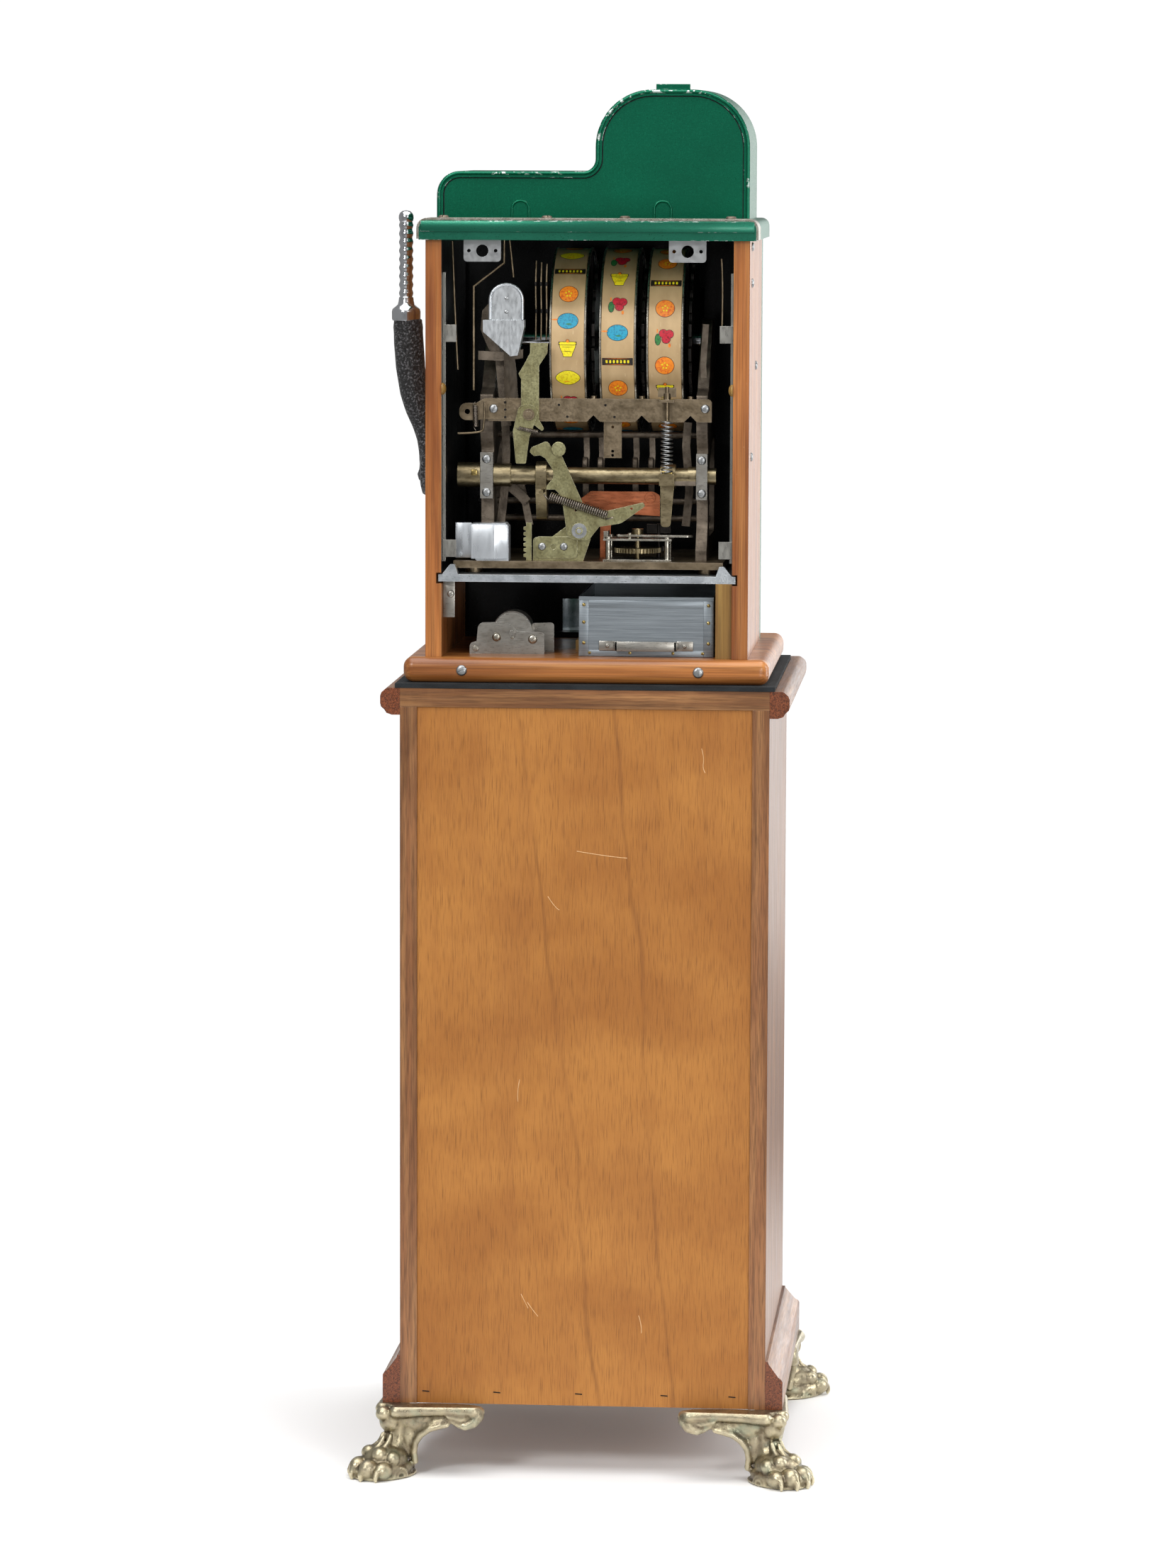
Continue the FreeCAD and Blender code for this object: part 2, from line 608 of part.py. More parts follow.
def mechanism_frame(name, low, thick):
    foot = S.shaft_y + 20
    outline = [(S.reel_y - 63, MECH_TOP), (foot, MECH_TOP), (foot, MECH_TOP + 12, 4),
               (S.shaft_y, MECH_TOP + 38, 12),
               (S.shaft_y, SHAFT_Z + 30, 8), (S.tie_y, TIE_Z - 12, 8), (S.tie_y, TIE_TOP + 4, 3),
               (S.tie_y - 22, TIE_TOP + 10, 8), (S.reel_y + 22, REEL_Z + 24, 14),
               (S.reel_y - 22, REEL_Z + 24, 14),
               (S.reel_y - 40, REEL_Z - 60)]
    frame = plate("YZ", outline, low, low + thick)
    light = [(S.reel_y - 30, MECH_TOP + 24, 8), (S.shaft_y - 26, MECH_TOP + 24, 8),
             (S.shaft_y - 26, SHAFT_Z + 10, 12),
             (S.reel_y + 8, REEL_Z - 110, 12), (S.reel_y - 26, REEL_Z - 110, 8)]
    window = plate("YZ", light, low - 1, low + thick + 1)
    gap = S.running_gap
    shaft_bore = rod("X", (low - 1, S.shaft_y, SHAFT_Z), thick + 2, S.shaft_radius + gap)
    reel_bore = rod("X", (low - 1, S.reel_y, REEL_Z), thick + 2, S.reel_shaft_radius + gap)
    keep(f"mech_frame_{name}", cut(frame, window, shaft_bore, reel_bore))


def tie_bar():
    """The bar across the two frames, with three V notches under it, a side bracket and a hanging plate."""
    left = S.frame_left_x + 5
    right = FRAME_RIGHT_X - 5
    notches = [-3.5, -57.3, -111.5]
    outline = [(left, TIE_Z)]
    for x in notches:
        outline += [(x + 7.3, TIE_Z), (x, TIE_Z + 7.3), (x - 7.3, TIE_Z)]
    outline += [(right, TIE_Z), (right, TIE_TOP, 4), (left, TIE_TOP)]
    bar = plate("XZ", outline, S.tie_y, TIE_BACK)
    bumps = [rod("Z", (x, S.tie_y + 3, TIE_TOP - 1), 4, 3) for x in notches]
    lip_x = (-S.arm_x - 8, 8 - S.arm_x)
    lip = cut(block(lip_x, (TIE_BACK - 1, TIE_BACK + 15), (TIE_TOP - 3, TIE_TOP)),
              rod("Z", (-S.arm_x, TIE_BACK + 8, TIE_TOP - 4), 5, 2.6))
    bracket = [(95, TIE_Z + 2), (118, TIE_Z + 2), (127, TIE_Z + 1), (146, TIE_Z + 1, 8),
               (146, TIE_Z + 20, 8), (127, TIE_Z + 20),
               (118, TIE_TOP), (95, TIE_TOP, 3)]
    tab = plate("XZ", bracket, TIE_BACK, TIE_BACK + 2.5, [(137, TIE_Z + 10.5, 3)])
    holes = [(-24.6, TIE_Z - 6, 1.6), (-24.6, TIE_Z - 33, 1.6), (-24.6, TIE_Z - 37.5, 1.6)]
    hanger = plate("XZ", [(-34.6, TIE_Z - 40.5), (-14.6, TIE_Z - 40.5), (-14.6, TIE_Z + 12),
                          (-34.6, TIE_Z + 12)],
                   S.tie_y - 2, S.tie_y, holes)
    keep("tie_bar", group(fuse(bar, *bumps, lip), tab, hanger))


def shafts():
    caps = []
    for low, thick in FRAMES.values():
        half = S.cap_height / 2
        cap = block((low, low + thick), (S.shaft_y, S.shaft_y + S.cap_thick),
                    (SHAFT_Z - half, SHAFT_Z + half))
        caps.append(cut(cap, rod("X", (low - 1, S.shaft_y, SHAFT_Z), thick + 2,
                                 S.shaft_radius + S.running_gap)))
    keep("bearing_caps", group(*caps))
    axis = (S.shaft_y, SHAFT_Z)
    right = FRAME_RIGHT_X - S.shaft_right_out
    pieces = [rod("X", (right, *axis), S.shaft_left - right, S.shaft_radius)]
    edge = S.frame_left_x + S.frame_left_thick + 0.5
    pieces.append(rod("X", (edge, *axis), S.shaft_left - edge, S.collar_radius))
    pieces.append(rod("X", (S.frame_left_x - 19.5, *axis), 19, S.collar_radius - 1))
    pieces.append(rod("X", (S.frame_left_x - 47, *axis), 28, S.shaft_radius + 1.2))
    pieces.append(rod("X", (FRAME_RIGHT_X + S.frame_right_thick + 0.5, *axis), 9, S.shaft_radius + 1.5))
    arm = [(S.shaft_y + 16, SHAFT_Z - 14, 8), (S.shaft_y + 16, SHAFT_Z + 14, 10),
           (S.shaft_y - 14, SHAFT_Z + 16, 10),
           (S.shaft_y - 17, SHAFT_Z - 14, 8), (S.shaft_y - 12, SHAFT_Z - 50, 5),
           (S.shaft_y + 2, SHAFT_Z - 50, 5)]
    pieces.append(plate("YZ", arm, S.frame_left_x - 60, S.frame_left_x - 48))
    pieces.append(rod("Y", (S.frame_left_x - 57, S.shaft_y, SHAFT_Z - 16), S.lever_y + 10 - S.shaft_y,
                      2.5))
    keep("main_shaft", fuse(*pieces))


def handle():
    """The pull handle outside the case, its shaft through the side and the crank inside."""
    hub_x = CASE_X + S.hub_gap
    axis = (S.handle_y, HANDLE_Z)
    inner = BAY_X - 34
    hub = rod("X", (hub_x, *axis), 22, 28)
    bar = rod("X", (inner, *axis), hub_x - inner, S.handle_bar)
    reach = CASE_X + S.handle_out
    lift = HANDLE_Z + 173
    outline = [(hub_x + 6, HANDLE_Z - 20), (hub_x + 22, HANDLE_Z - 20), (hub_x + 24, HANDLE_Z + 35, 30),
               (reach - 22, HANDLE_Z + 88, 60),
               (reach - 4, HANDLE_Z + 135, 40), (reach, lift), (reach - 33, lift),
               (reach - 33, lift - 14, 10),
               (reach - 41, HANDLE_Z + 115, 60), (hub_x + 8, HANDLE_Z + 60, 60)]
    arm = plate("XZ", outline, S.handle_y - 15, S.handle_y + 15)
    crank = [(S.handle_y - 13, HANDLE_Z - 13, 8), (S.handle_y + 48, HANDLE_Z - 34, 8),
             (S.handle_y + 54, HANDLE_Z - 16, 8),
             (S.handle_y - 11, HANDLE_Z + 14, 8)]
    keep("handle_arm", fuse(hub, bar, arm, plate("YZ", crank, inner, inner + 8)))
    middle = reach - 16.5
    collar = rod("Z", (middle, S.handle_y, lift), 12, 16.5)
    stem = rod("Z", (middle + 2, S.handle_y, lift + 12), S.grip_length, S.grip_radius)
    knob = DOC.addObject("Part::Sphere", "grip_end")
    knob.Radius = bind(knob, "Radius", S.grip_radius)
    place(knob, (middle + 2, S.handle_y, lift + 12 + S.grip_length))
    grooves = []
    for i in range(9):
        level = lift + 24 + S.grip_length * i / 10
        torus = DOC.addObject("Part::Torus", "groove")
        torus.Radius1 = bind(torus, "Radius1", S.grip_radius + 2.2)
        torus.Radius2 = 3
        place(torus, (middle + 2, S.handle_y, level))
        grooves.append(torus)
    keep("handle_grip", cut(fuse(collar, stem, knob), *grooves))


def reel(name, middle):
    """A thin drum with two rims, and the spoked hub with its notched stop wheel beside it."""
    low = middle - S.reel_width / 2
    high = middle + S.reel_width / 2
    axis = (S.reel_y, REEL_Z)
    band = ring("X", (low, *axis), S.reel_width, S.reel_radius, S.reel_radius - S.reel_wall)
    rim_bore = S.reel_radius - S.rim_height
    rims = [ring("X", (x, *axis), S.rim_thick, S.reel_radius, rim_bore) for x in (low,
                                                                                  high - S.rim_thick)]
    keep(f"{name}_drum", fuse(band, *rims))
    bore = S.reel_shaft_radius + S.running_gap
    star_x = low - S.star_gap - S.star_thick
    hub = ring("X", (star_x, *axis), high - star_x, S.hub_radius, bore)
    spokes = []
    for i in range(5):
        angle = math.radians(90 + 72 * i)
        spoke = DOC.addObject("Part::Box", "spoke")
        spoke.Length = bind(spoke, "Length", S.rim_thick)
        spoke.Width = 9
        spoke.Height = bind(spoke, "Height", rim_bore - S.slide_gap - S.hub_radius + 2)
        spoke.Placement = FreeCAD.Placement(V(), FreeCAD.Rotation(V(1, 0, 0), 72 * i))
        reach = S.hub_radius - 2
        place(spoke, (low, axis[0] + reach * math.cos(angle) - 4.5 * math.sin(angle),
                      axis[1] + reach * math.sin(angle) + 4.5 * math.cos(angle)))
        spoke.Placement = FreeCAD.Placement(spoke.Placement.Base, FreeCAD.Rotation(V(1, 0, 0), 72 * i))
        spokes.append(spoke)
    keep(f"{name}_star", fuse(hub, stop_wheel(star_x, axis, bore), *spokes))


def stop_wheel(x, axis, bore):
    """A disc with twenty notches, one for each stop of the reel."""
    body = DOC.addObject("PartDesign::Body", "stop_wheel")
    disc = sketch_on(body, "YZ")
    draw_circle(disc, (0, 0), S.star_radius)
    draw_circle(disc, (0, 0), bore)
    pad = body.newObject("PartDesign::Pad", "pad")
    pad.Profile = disc
    pad.Length = bind(pad, "Length", S.star_thick)
    notch = sketch_on(body, "YZ")
    draw_circle(notch, (0, S.star_radius), 7)
    pocket = body.newObject("PartDesign::Pocket", "notch")
    pocket.Profile = notch
    pocket.Type = "ThroughAll"
    pocket.Midplane = True
    DOC.recompute()
    pattern = body.newObject("PartDesign::PolarPattern", "notches")
    pattern.Originals = [pocket]
    x_axis = [f for f in body.Origin.OriginFeatures if f.Role == "X_Axis"][0]
    pattern.Axis = (x_axis, [""])
    pattern.Angle = 360
    pattern.Occurrences = 20
    body.Tip = pattern
    place(body, (x, *axis))
    return body


def hook_lever():
    """The hooked release lever on its bracket, and the long spring across it."""
    x, z = S.hook_x, MECH_TOP + S.hook_rise
    front, rear = S.lever_y, S.lever_y + S.lever_thick
    shape = [(55.6, 87, 2), (50.8, 82.5, 2), (44, 83.5, 4), (38, 80), (29, 66, 12), (29.5, 58),
             (36.7, 49.5, 4), (36.7, 45.4),
             (27, 45.5, 3), (20, 38), (13, -9, 9), (-10, -11, 9), (-22, 4.5), (-46.5, 8.6, 16),
             (-73, 27.7, 1.5),
             (-71, 32, 1.5), (-32, 22.6), (-6.3, 25.3, 6), (20.2, 84), (18, 95, 4), (28, 98, 4),
             (30, 90), (36, 99.5, 4), (54, 92, 5)]
    outline = [(x + p[0], z + p[1], *p[2:]) for p in shape]
    pin_radius = 4
    holes = [(x, z, pin_radius + S.running_gap), (x + 4, z + 22.8, 1.5), (x - 57.9, z + 24.9, 1.5)]
    roller = rod("Y", (x + 23, rear, z + 90.6), 4, 7.2)
    keep("hook_lever", fuse(plate("XZ", outline, front, rear, holes), roller))
    back = front - 0.5
    gusset = [(62, MECH_TOP), (62, MECH_TOP + 26, 4), (42, MECH_TOP + 26), (x + 10, z + 8, 4),
              (x - 9, z + 10, 8), (x - 12, z - 10),
              (x - 4, MECH_TOP)]
    upright = plate("XZ", gusset, back - 5, back - 2)
    slotted = plate("XZ", [(12.9, MECH_TOP + 3, 5), (59.7, MECH_TOP + 3, 5), (59.7, MECH_TOP + 27, 5),
                           (12.9, MECH_TOP + 27, 5)],
                    back - 2, back, [(39.5, MECH_TOP + 15.5, 3)])
    foot = block((x - 4, 62), (back - 18, back - 2), (MECH_TOP, MECH_TOP + 3))
    pin = fuse(rod("Y", (x, back - 5, z), S.lever_thick + 10, pin_radius),
               rod("Y", (x, rear + 0.3, z), 1.2, 9),
               rod("Y", (x, back - 2, z), 2, 8))
    comb = [(64, MECH_TOP), (64, MECH_TOP + 42), (70, MECH_TOP + 42)]
    for i in range(6):
        comb += [(70, MECH_TOP + 38 - 6 * i), (73, MECH_TOP + 37 - 6 * i), (73, MECH_TOP + 34 - 6 * i),
                 (70, MECH_TOP + 33 - 6 * i)]
    comb += [(70, MECH_TOP)]
    keep("hook_lever_bracket", group(fuse(upright, slotted, foot, pin),
                                     plate("XZ", comb, back - 8, back - 5)))
    start = V(number(S.frame_left_x) - 60, number(rear) + 5, number(SHAFT_Z) - 18.5)
    end = V(number(x) - 38, number(rear) + 5, number(z) + 15.4)
    keep("hook_spring", coil(start, end, 4.5))


def coil(start, end, radius):
    """The closed outer shape of a coil spring between two points."""
    item = DOC.addObject("Part::Cylinder", "coil")
    item.Radius = radius
    item.Height = (end - start).Length
    item.Placement = FreeCAD.Placement(start, FreeCAD.Rotation(V(0, 0, 1), end - start))
    return item


def latch_levers():
    """The knee of two levers that share one pivot on the tie bar."""
    x, z = S.latch_x, MECH_TOP + S.latch_rise
    front = TIE_BACK + 0.5
    upper = [(-1, 79), (-1, 68), (6.5, 54), (12, 45, 3), (9, 39), (9, -8, 8), (-6, -12),
             (-16.4, -20, 2), (-16.3, -14.7),
             (-11, -5.7), (-11, 54), (-20, 68), (-20.6, 79)]
    lower = [(11, 11, 9), (-10.5, 11, 9), (-9.5, -2), (-0.8, -25), (3.1, -54.6, 2), (14.4, -54.6, 2),
             (17.9, -19, 3)]
    gap = 0.3
    levels = (front, front + S.lever_thick, front + S.lever_thick + gap,
              front + 2 * S.lever_thick + gap)
    for name, shape, limits in (("upper", upper, levels[:2]), ("lower", lower, levels[2:])):
        outline = [(x + p[0], z + p[1], *p[2:]) for p in shape]
        keep(f"latch_lever_{name}", plate("XZ", outline, *limits, [(x, z, 4 + S.running_gap)]))
    stud = rod("Y", (x, TIE_BACK, z), 2 * S.lever_thick + 4, 4)
    head = rod("Y", (x, levels[3] + 0.3, z), 1.5, 6.5)
    NODES["tie_bar"].Links = NODES["tie_bar"].Links + [fuse(stud, head)]


def toothed(radius, depth, teeth, phase, width):
    """A flat toothed outline around the origin, as a face."""
    points = []
    step = 2 * math.pi / teeth
    for i in range(teeth):
        middle = phase + i * step
        for turn, reach in ((-0.5, radius - depth), (-0.5 * width, radius), (0.5 * width, radius),
                            (0.5, radius - depth)):
            angle = middle + turn * step * 0.8
            points.append(V(reach * math.cos(angle), reach * math.sin(angle), 0))
    return Part.Face(Part.makePolygon(points + [points[0]]))


def wheel(radius, teeth, phase, thick, depth=2.2):
    item = DOC.addObject("Part::Feature", "wheel")
    item.Shape = toothed(radius, depth, teeth, phase, 0.45).extrude(V(0, 0, thick))
    return item


def clock():
    """The governor that slows the release: a gear train between two plates, with a fan."""
    x, y = -S.clock_x, S.clock_y
    low = MECH_TOP
    high = low + S.clock_high
    thick = S.plate_thick
    spread_x, spread_y = (-S.clock_x - 39, 37 - S.clock_x), (S.clock_y - 26, S.clock_y + 22)
    top = block(spread_x, spread_y, (high - thick, high))
    bottom = block(spread_x, spread_y, (low, low + thick))
    posts = []
    for px in (x + 31.5, x - 34):
        for py in (y + 16, y - 20):
            posts.append(rod("Z", (px, py, low + thick), S.clock_high - 2 * thick, 3.2))
            posts.append(rod("Z", (px, py, high), 2, 3.6))
    reach = 22.06
    pinion_at = (x - reach, y - reach)
    gap = S.running_gap
    bores = [rod("Z", (x, y, low - 1), S.clock_high + 2, 3 + gap),
             rod("Z", (*pinion_at, low - 1), S.clock_high + 2, 2 + gap)]
    tab = block((x + 32, x + 37), (y - 10, y + 14), (high - thick, high + 8))
    shape = [(-30, y + 7.5, 3), (-30, y + 14, 3), (-110, y + 22, 4), (-119, y + 16, 4),
             (-106, y + 8, 3), (-62, y + 7.5, 3)]
    lever = plate("XY", shape, high + 2.2, high + 4.2)
    stud = rod("Z", (-45, y + 11, high), 6, 2.5)
    keep("clock_frame", group(cut(fuse(top, bottom, *posts, tab), *bores), fuse(lever, stud)))
    facing = math.radians(225)
    gear = wheel(number(S.gear_radius), 40, facing + math.radians(4.5), 5)
    gear.Placement.Base = V(number(x), number(y), number(low) + 9)
    arbor = fuse(rod("Z", (x, y, low + 0.5), S.clock_high + 10, 3), rod("Z", (x, y, high + 3), 7, 6.5))
    keep("clock_gear", fuse(gear, arbor))
    pinion = wheel(number(S.pinion_radius), 8, facing + math.pi, 5)
    pinion.Placement.Base = V(number(pinion_at[0]), number(pinion_at[1]), number(low) + 9)
    staff = rod("Z", (*pinion_at, low + 0.5), S.clock_high + 14, 2)
    vane = block((pinion_at[0] - 13, pinion_at[0] + 13), (pinion_at[1] - 0.8, pinion_at[1] + 0.8),
                 (high + 4, high + 14))
    keep("clock_fan", fuse(pinion, staff, vane))


def clock_arm():
    """The arm that rides on the main shaft, and the adjustable spring that pulls it up."""
    half = S.arm_width / 2
    x = (-S.arm_x - half, half - S.arm_x)
    hub = ring("X", (x[0], S.shaft_y, SHAFT_Z), S.arm_width, S.shaft_radius + 4,
               S.shaft_radius + S.running_gap)
    back = S.shaft_y + S.shaft_radius + 1
    outline = [(x[0], SHAFT_Z + 4), (x[1], SHAFT_Z + 4), (x[1] - 1, SHAFT_Z - S.arm_long, 4),
               (x[0] + 5, SHAFT_Z - S.arm_long, 4)]
    blade = plate("XZ", outline, back, back + 4)
    head = block(x, (back + 4, TIE_BACK + 10), (SHAFT_Z - 9, SHAFT_Z + 4))
    keep("clock_arm", fuse(hub, blade, head))
    axis = (-S.arm_x, TIE_BACK + 8)
    nut = fuse(rod("Z", (*axis, TIE_TOP), 7, 4),
               block((axis[0] - 10, axis[0] + 10), (axis[1] - 1, axis[1] + 1),
                     (TIE_TOP + 3, TIE_TOP + 13)))
    stem = rod("Z", (*axis, TIE_Z + 2), S.tie_height + 12, 2.5)
    NODES["tie_bar"].Links = NODES["tie_bar"].Links + [fuse(stem, nut)]
    foot = SHAFT_Z + 4.3
    keep("wing_nut_spring", rod("Z", (*axis, foot), TIE_Z + 1.7 - foot, S.spring_radius))


def chutes():
    """The coin chute on its curved arm, the small coin box beside it and the copper baffle."""
    z = TIE_TOP
    head = [(75, z + 87), (111, z + 87), (111, z + 127, 17), (75, z + 127, 17)]
    funnel = [(118.7, z + 87), (72.7, z + 87), (72.7, z + 79), (80, z + 48), (88, z + 47),
              (118.7, z + 74)]
    arm = [(95, z - 18), (80, z - 18), (83, z + 30), (87, z + 58), (98, z + 82), (98, z + 100),
           (112, z + 100),
           (112, z + 72, 5), (97, z + 50, 5), (97, z + 20)]
    front = S.tie_y
    chute = fuse(plate("XZ", head, front, front + 16), plate("XZ", funnel, front, front + 20))
    keep("coin_chute", group(chute, plate("XZ", arm, front - 4, front)))
    rear = S.mech_rear - 1
    low = MECH_TOP
    tray = [(88.6, low), (124, low), (130, low + 6), (130, low + 41), (92, low + 42), (88.6, low + 38)]
    keep("coin_box", plate("XZ", tray, rear - 24, rear))
    leaf = [(13, low + 52, 4), (-75, low + 46.5), (-75, low + 70, 4), (-68, low + 74, 4), (3, low + 74),
            (13, low + 66)]
    leg = block((-20, -8), (98.5, 100), (low, low + 55))
    keep("copper_baffle", fuse(plate("XZ", leaf, 98.5, 100), leg))


def lock_bars():
    """Two sliding bars on the case walls, each with two tabs that catch the back door."""
    bars = []
    inner = BAY_X - S.slide_gap
    for side in (1, -1):
        x = (inner - 3, inner) if side > 0 else (-inner, 3 - inner)
        parts = [block(x, (168, 182), (SHELF_TOP + 14, CASE_TOP - 36))]
        for level in (MECH_TOP + 5, MECH_TOP + 243):
            tab = (inner - 15, inner) if side > 0 else (-inner, 15 - inner)
            parts.append(block(tab, (182, 184.5), (level, level + 19)))
        bars.append(fuse(*parts))
    keep("lock_bars", group(*bars))


def screws():
    """Slotted round-head screws, grouped as separate solids that stand on the faces they hold."""
    heads = []
    for x in (160, 45.7, -40.4, -157.3):
        heads.append(cone("Z", (x, COVER_REAR - 18, COVER_TOP + S.trim_thick), 3, 6, 3.5))
    for x in (137.6, -125):
        heads.append(cone("Y", (x, S.base_rear, BASE_Z + S.base_thick / 2), 2.5, 6, 4))
    for low, thick in FRAMES.values():
        x = low + thick / 2
        for rise in (-18.5, 18.5):
            heads.append(cone("Y", (x, S.shaft_y + S.cap_thick, SHAFT_Z + rise), 2.5, 5, 3.5))
    heads.append(cone("Y", (107.6, TIE_BACK + 2.5, TIE_Z + 14), 2.5, 5, 3.5))
    heads.append(cone("Y", (-127.9, TIE_BACK, TIE_Z + 15), 2.5, 5, 3.5))
    for x in (51.8, 27.5):
        heads.append(cone("Y", (x, S.lever_y - 0.5, MECH_TOP + 16), 2.5, 4.5, 3))
    for y, rise in ((150, -7), (150, -47), (60, -141), (150, -239)):
        heads.append(cone("X", (-CASE_X - 2.5, y, CASE_TOP + rise), 2.5, 3.5, 5))
    keep("round_head_screws", group(*heads))


def check_and_write():
    DOC.recompute()
    for item in DOC.Objects:
        if {"Invalid", "Error"} & set(item.State):
            raise SystemExit(f"{item.Label} ({item.Name}) failed: {item.State}")
    os.makedirs("parts", exist_ok=True)
    for label, item in NODES.items():
        shape = item.Shape
        if shape.isNull() or not shape.isValid() or not shape.Solids:
            raise SystemExit(f"{label} has no valid solid")
        shape.exportStep(f"parts/{label}.step")
    print(len(NODES), "nodes")


pedestal()
mouldings()
feet()
case()
cover()
top_casting()
door_lugs()
shelf()
cash_bay()
mechanism_base()
shafts()
handle()
for reel_name, reel_middle in zip(("reel_one", "reel_two", "reel_three"), REEL_X):
    reel(reel_name, reel_middle)
hook_lever()
latch_levers()
clock()
clock_arm()
chutes()
lock_bars()
screws()
check_and_write()
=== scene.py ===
"""Looks for a mechanical three-reel machine on an oak pedestal, seen from its open back.

Shapes are made in millimetres and turned to metres when they become pieces. X is the pull handle's side,
Y points out of the open back and Z is up.
"""
import math
import random

import bmesh
import bpy
from mathutils import Matrix, Vector


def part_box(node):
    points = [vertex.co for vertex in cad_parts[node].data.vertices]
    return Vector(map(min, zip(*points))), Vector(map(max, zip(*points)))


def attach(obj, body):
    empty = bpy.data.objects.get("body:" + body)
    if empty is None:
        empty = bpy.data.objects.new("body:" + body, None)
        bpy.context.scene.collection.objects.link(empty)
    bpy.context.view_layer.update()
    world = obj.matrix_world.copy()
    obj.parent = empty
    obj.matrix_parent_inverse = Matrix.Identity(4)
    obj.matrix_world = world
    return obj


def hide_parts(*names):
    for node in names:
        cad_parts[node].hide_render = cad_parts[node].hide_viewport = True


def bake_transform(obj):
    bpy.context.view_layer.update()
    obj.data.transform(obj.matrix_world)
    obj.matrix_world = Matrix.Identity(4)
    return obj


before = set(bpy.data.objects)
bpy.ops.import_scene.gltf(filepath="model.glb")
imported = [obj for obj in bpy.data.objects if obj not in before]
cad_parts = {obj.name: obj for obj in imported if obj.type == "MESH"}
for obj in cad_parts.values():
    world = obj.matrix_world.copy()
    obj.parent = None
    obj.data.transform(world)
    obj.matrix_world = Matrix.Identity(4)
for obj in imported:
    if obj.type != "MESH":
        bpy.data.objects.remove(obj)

bl_info = {
    "name": "Reel machine on a pedestal",
    "version": (1, 0, 0),
    "blender": (4, 5, 0),
    "location": "3D View > Sidebar > Reel machine",
    "description": "Builds the finish and fine pieces of a mechanical reel machine on its oak stand",
    "category": "Object",
}

MM = 0.001
ACROSS, REAR = (1, 0, 0), (0, 1, 0)
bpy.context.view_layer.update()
MATERIALS = {}


def linear(code):
    """The linear colour of an sRGB hex code."""
    parts = [int(code[i:i + 2], 16) / 255 for i in (1, 3, 5)]
    return (*[p / 12.92 if p <= 0.04045 else ((p + 0.055) / 1.055) ** 2.4 for p in parts], 1.0)


def length(label, about, metres):
    return bpy.props.FloatProperty(name=label, description=about, default=metres, min=0.0001,
                                   unit="LENGTH", subtype="DISTANCE")


def colour(label, about, code):
    return bpy.props.FloatVectorProperty(name=label, description=about, default=linear(code), size=4,
                                         min=0, max=1, subtype="COLOR")


class ReelMachineSizes(bpy.types.PropertyGroup):
    slot_width: length("Screw slot", "Width of the slot in a screw's head", 0.0011)
    spring_wire: length("Spring wire", "Thickness of the hook lever's spring wire", 0.0016)
    grip_scallop: length("Finger groove", "Depth of each groove in the pull handle's grip", 0.0012)
    strip_lift: length("Reel strip", "Thickness of the printed strip on a reel", 0.00012)
    foot_grain: length("Casting skin", "Fineness of the claw feet's cast surface", 0.0014)


class ReelMachineColours(bpy.types.PropertyGroup):
    case_wood: colour("Case wood", "Shellacked hardwood of the case", "#B06E37")
    stand_oak: colour("Stand oak", "Stained oak of the pedestal", "#8D5D39")
    back_panel: colour("Back panel", "Plywood of the pedestal's back", "#97602A")
    enamel: colour("Enamel", "Metallic green enamel of the castings", "#005C42")
    strip: colour("Reel strip", "Gold lacquered paper of the reels", "#C6A87C")
    brass: colour("Feet", "Aged brass of the claw feet", "#857A66")
    floor: colour("Floor", "Studio floor and backdrop", "#FAFAFA")


def sizes():
    return bpy.context.scene.reel_machine_sizes


def colours():
    return bpy.context.scene.reel_machine_colours


# Materials

def add(tree, kind, inputs=None, **settings):
    """Adds a node with its settings, and its inputs' values, hex colours or links."""
    node = tree.nodes.new("ShaderNode" + kind)
    for name, value in settings.items():
        setattr(node, name, value)
    for key, value in (inputs or {}).items():
        if isinstance(value, bpy.types.NodeSocket):
            tree.links.new(value, node.inputs[key])
        elif isinstance(value, str):
            node.inputs[key].default_value = linear(value)
        else:
            node.inputs[key].default_value = value
    return node


def start(name, **values):
    """A new material with fixed values on its shader's own sockets."""
    material = bpy.data.materials.new(name)
    material.use_nodes = True
    MATERIALS[name] = material
    shader = material.node_tree.nodes["Principled BSDF"]
    for key, value in values.items():
        shader.inputs[key.replace("_", " ")].default_value = value
    return material.node_tree, shader


def grain(tree, size, low=0.3, high=0.7, first=0.0, last=1.0, detail=4.0, twist=0.0):
    """A number that varies in patches of this size in millimetres, one size or one for X, Y and Z each."""
    place = add(tree, "TexCoord").outputs["Object"]
    spans = [size] * 3 if isinstance(size, (int, float)) else size
    scaled = add(tree, "Mapping", {"Vector": place, "Scale": [1000 / span for span in spans]})
    noise = add(tree, "TexNoise", {"Vector": scaled.outputs[0], "Scale": 1.0, "Detail": detail,
                                   "Distortion": twist})
    return add(tree, "MapRange", {"Value": noise.outputs[0], "From Min": low, "From Max": high,
                                  "To Min": first, "To Max": last}).outputs[0]


def layer(tree, below, above, *masks):
    """Lays one colour over another where every mask is strong."""
    amount = masks[0]
    for mask in masks[1:]:
        amount = add(tree, "Math", {0: amount, 1: mask}, operation="MULTIPLY").outputs[0]
    return add(tree, "Mix", {0: amount, 6: below, 7: above}, data_type="RGBA").outputs[2]


def inside(tree, axis, low, high):
    """One where the place along an axis is between two levels in millimetres, and nought elsewhere."""
    place = add(tree, "SeparateXYZ", {0: add(tree, "TexCoord").outputs["Object"]}).outputs[axis]
    return add(tree, "Math", {0: place, 1: (low + high) / 2 * MM, 2: (high - low) / 2 * MM},
               operation="COMPARE").outputs[0]


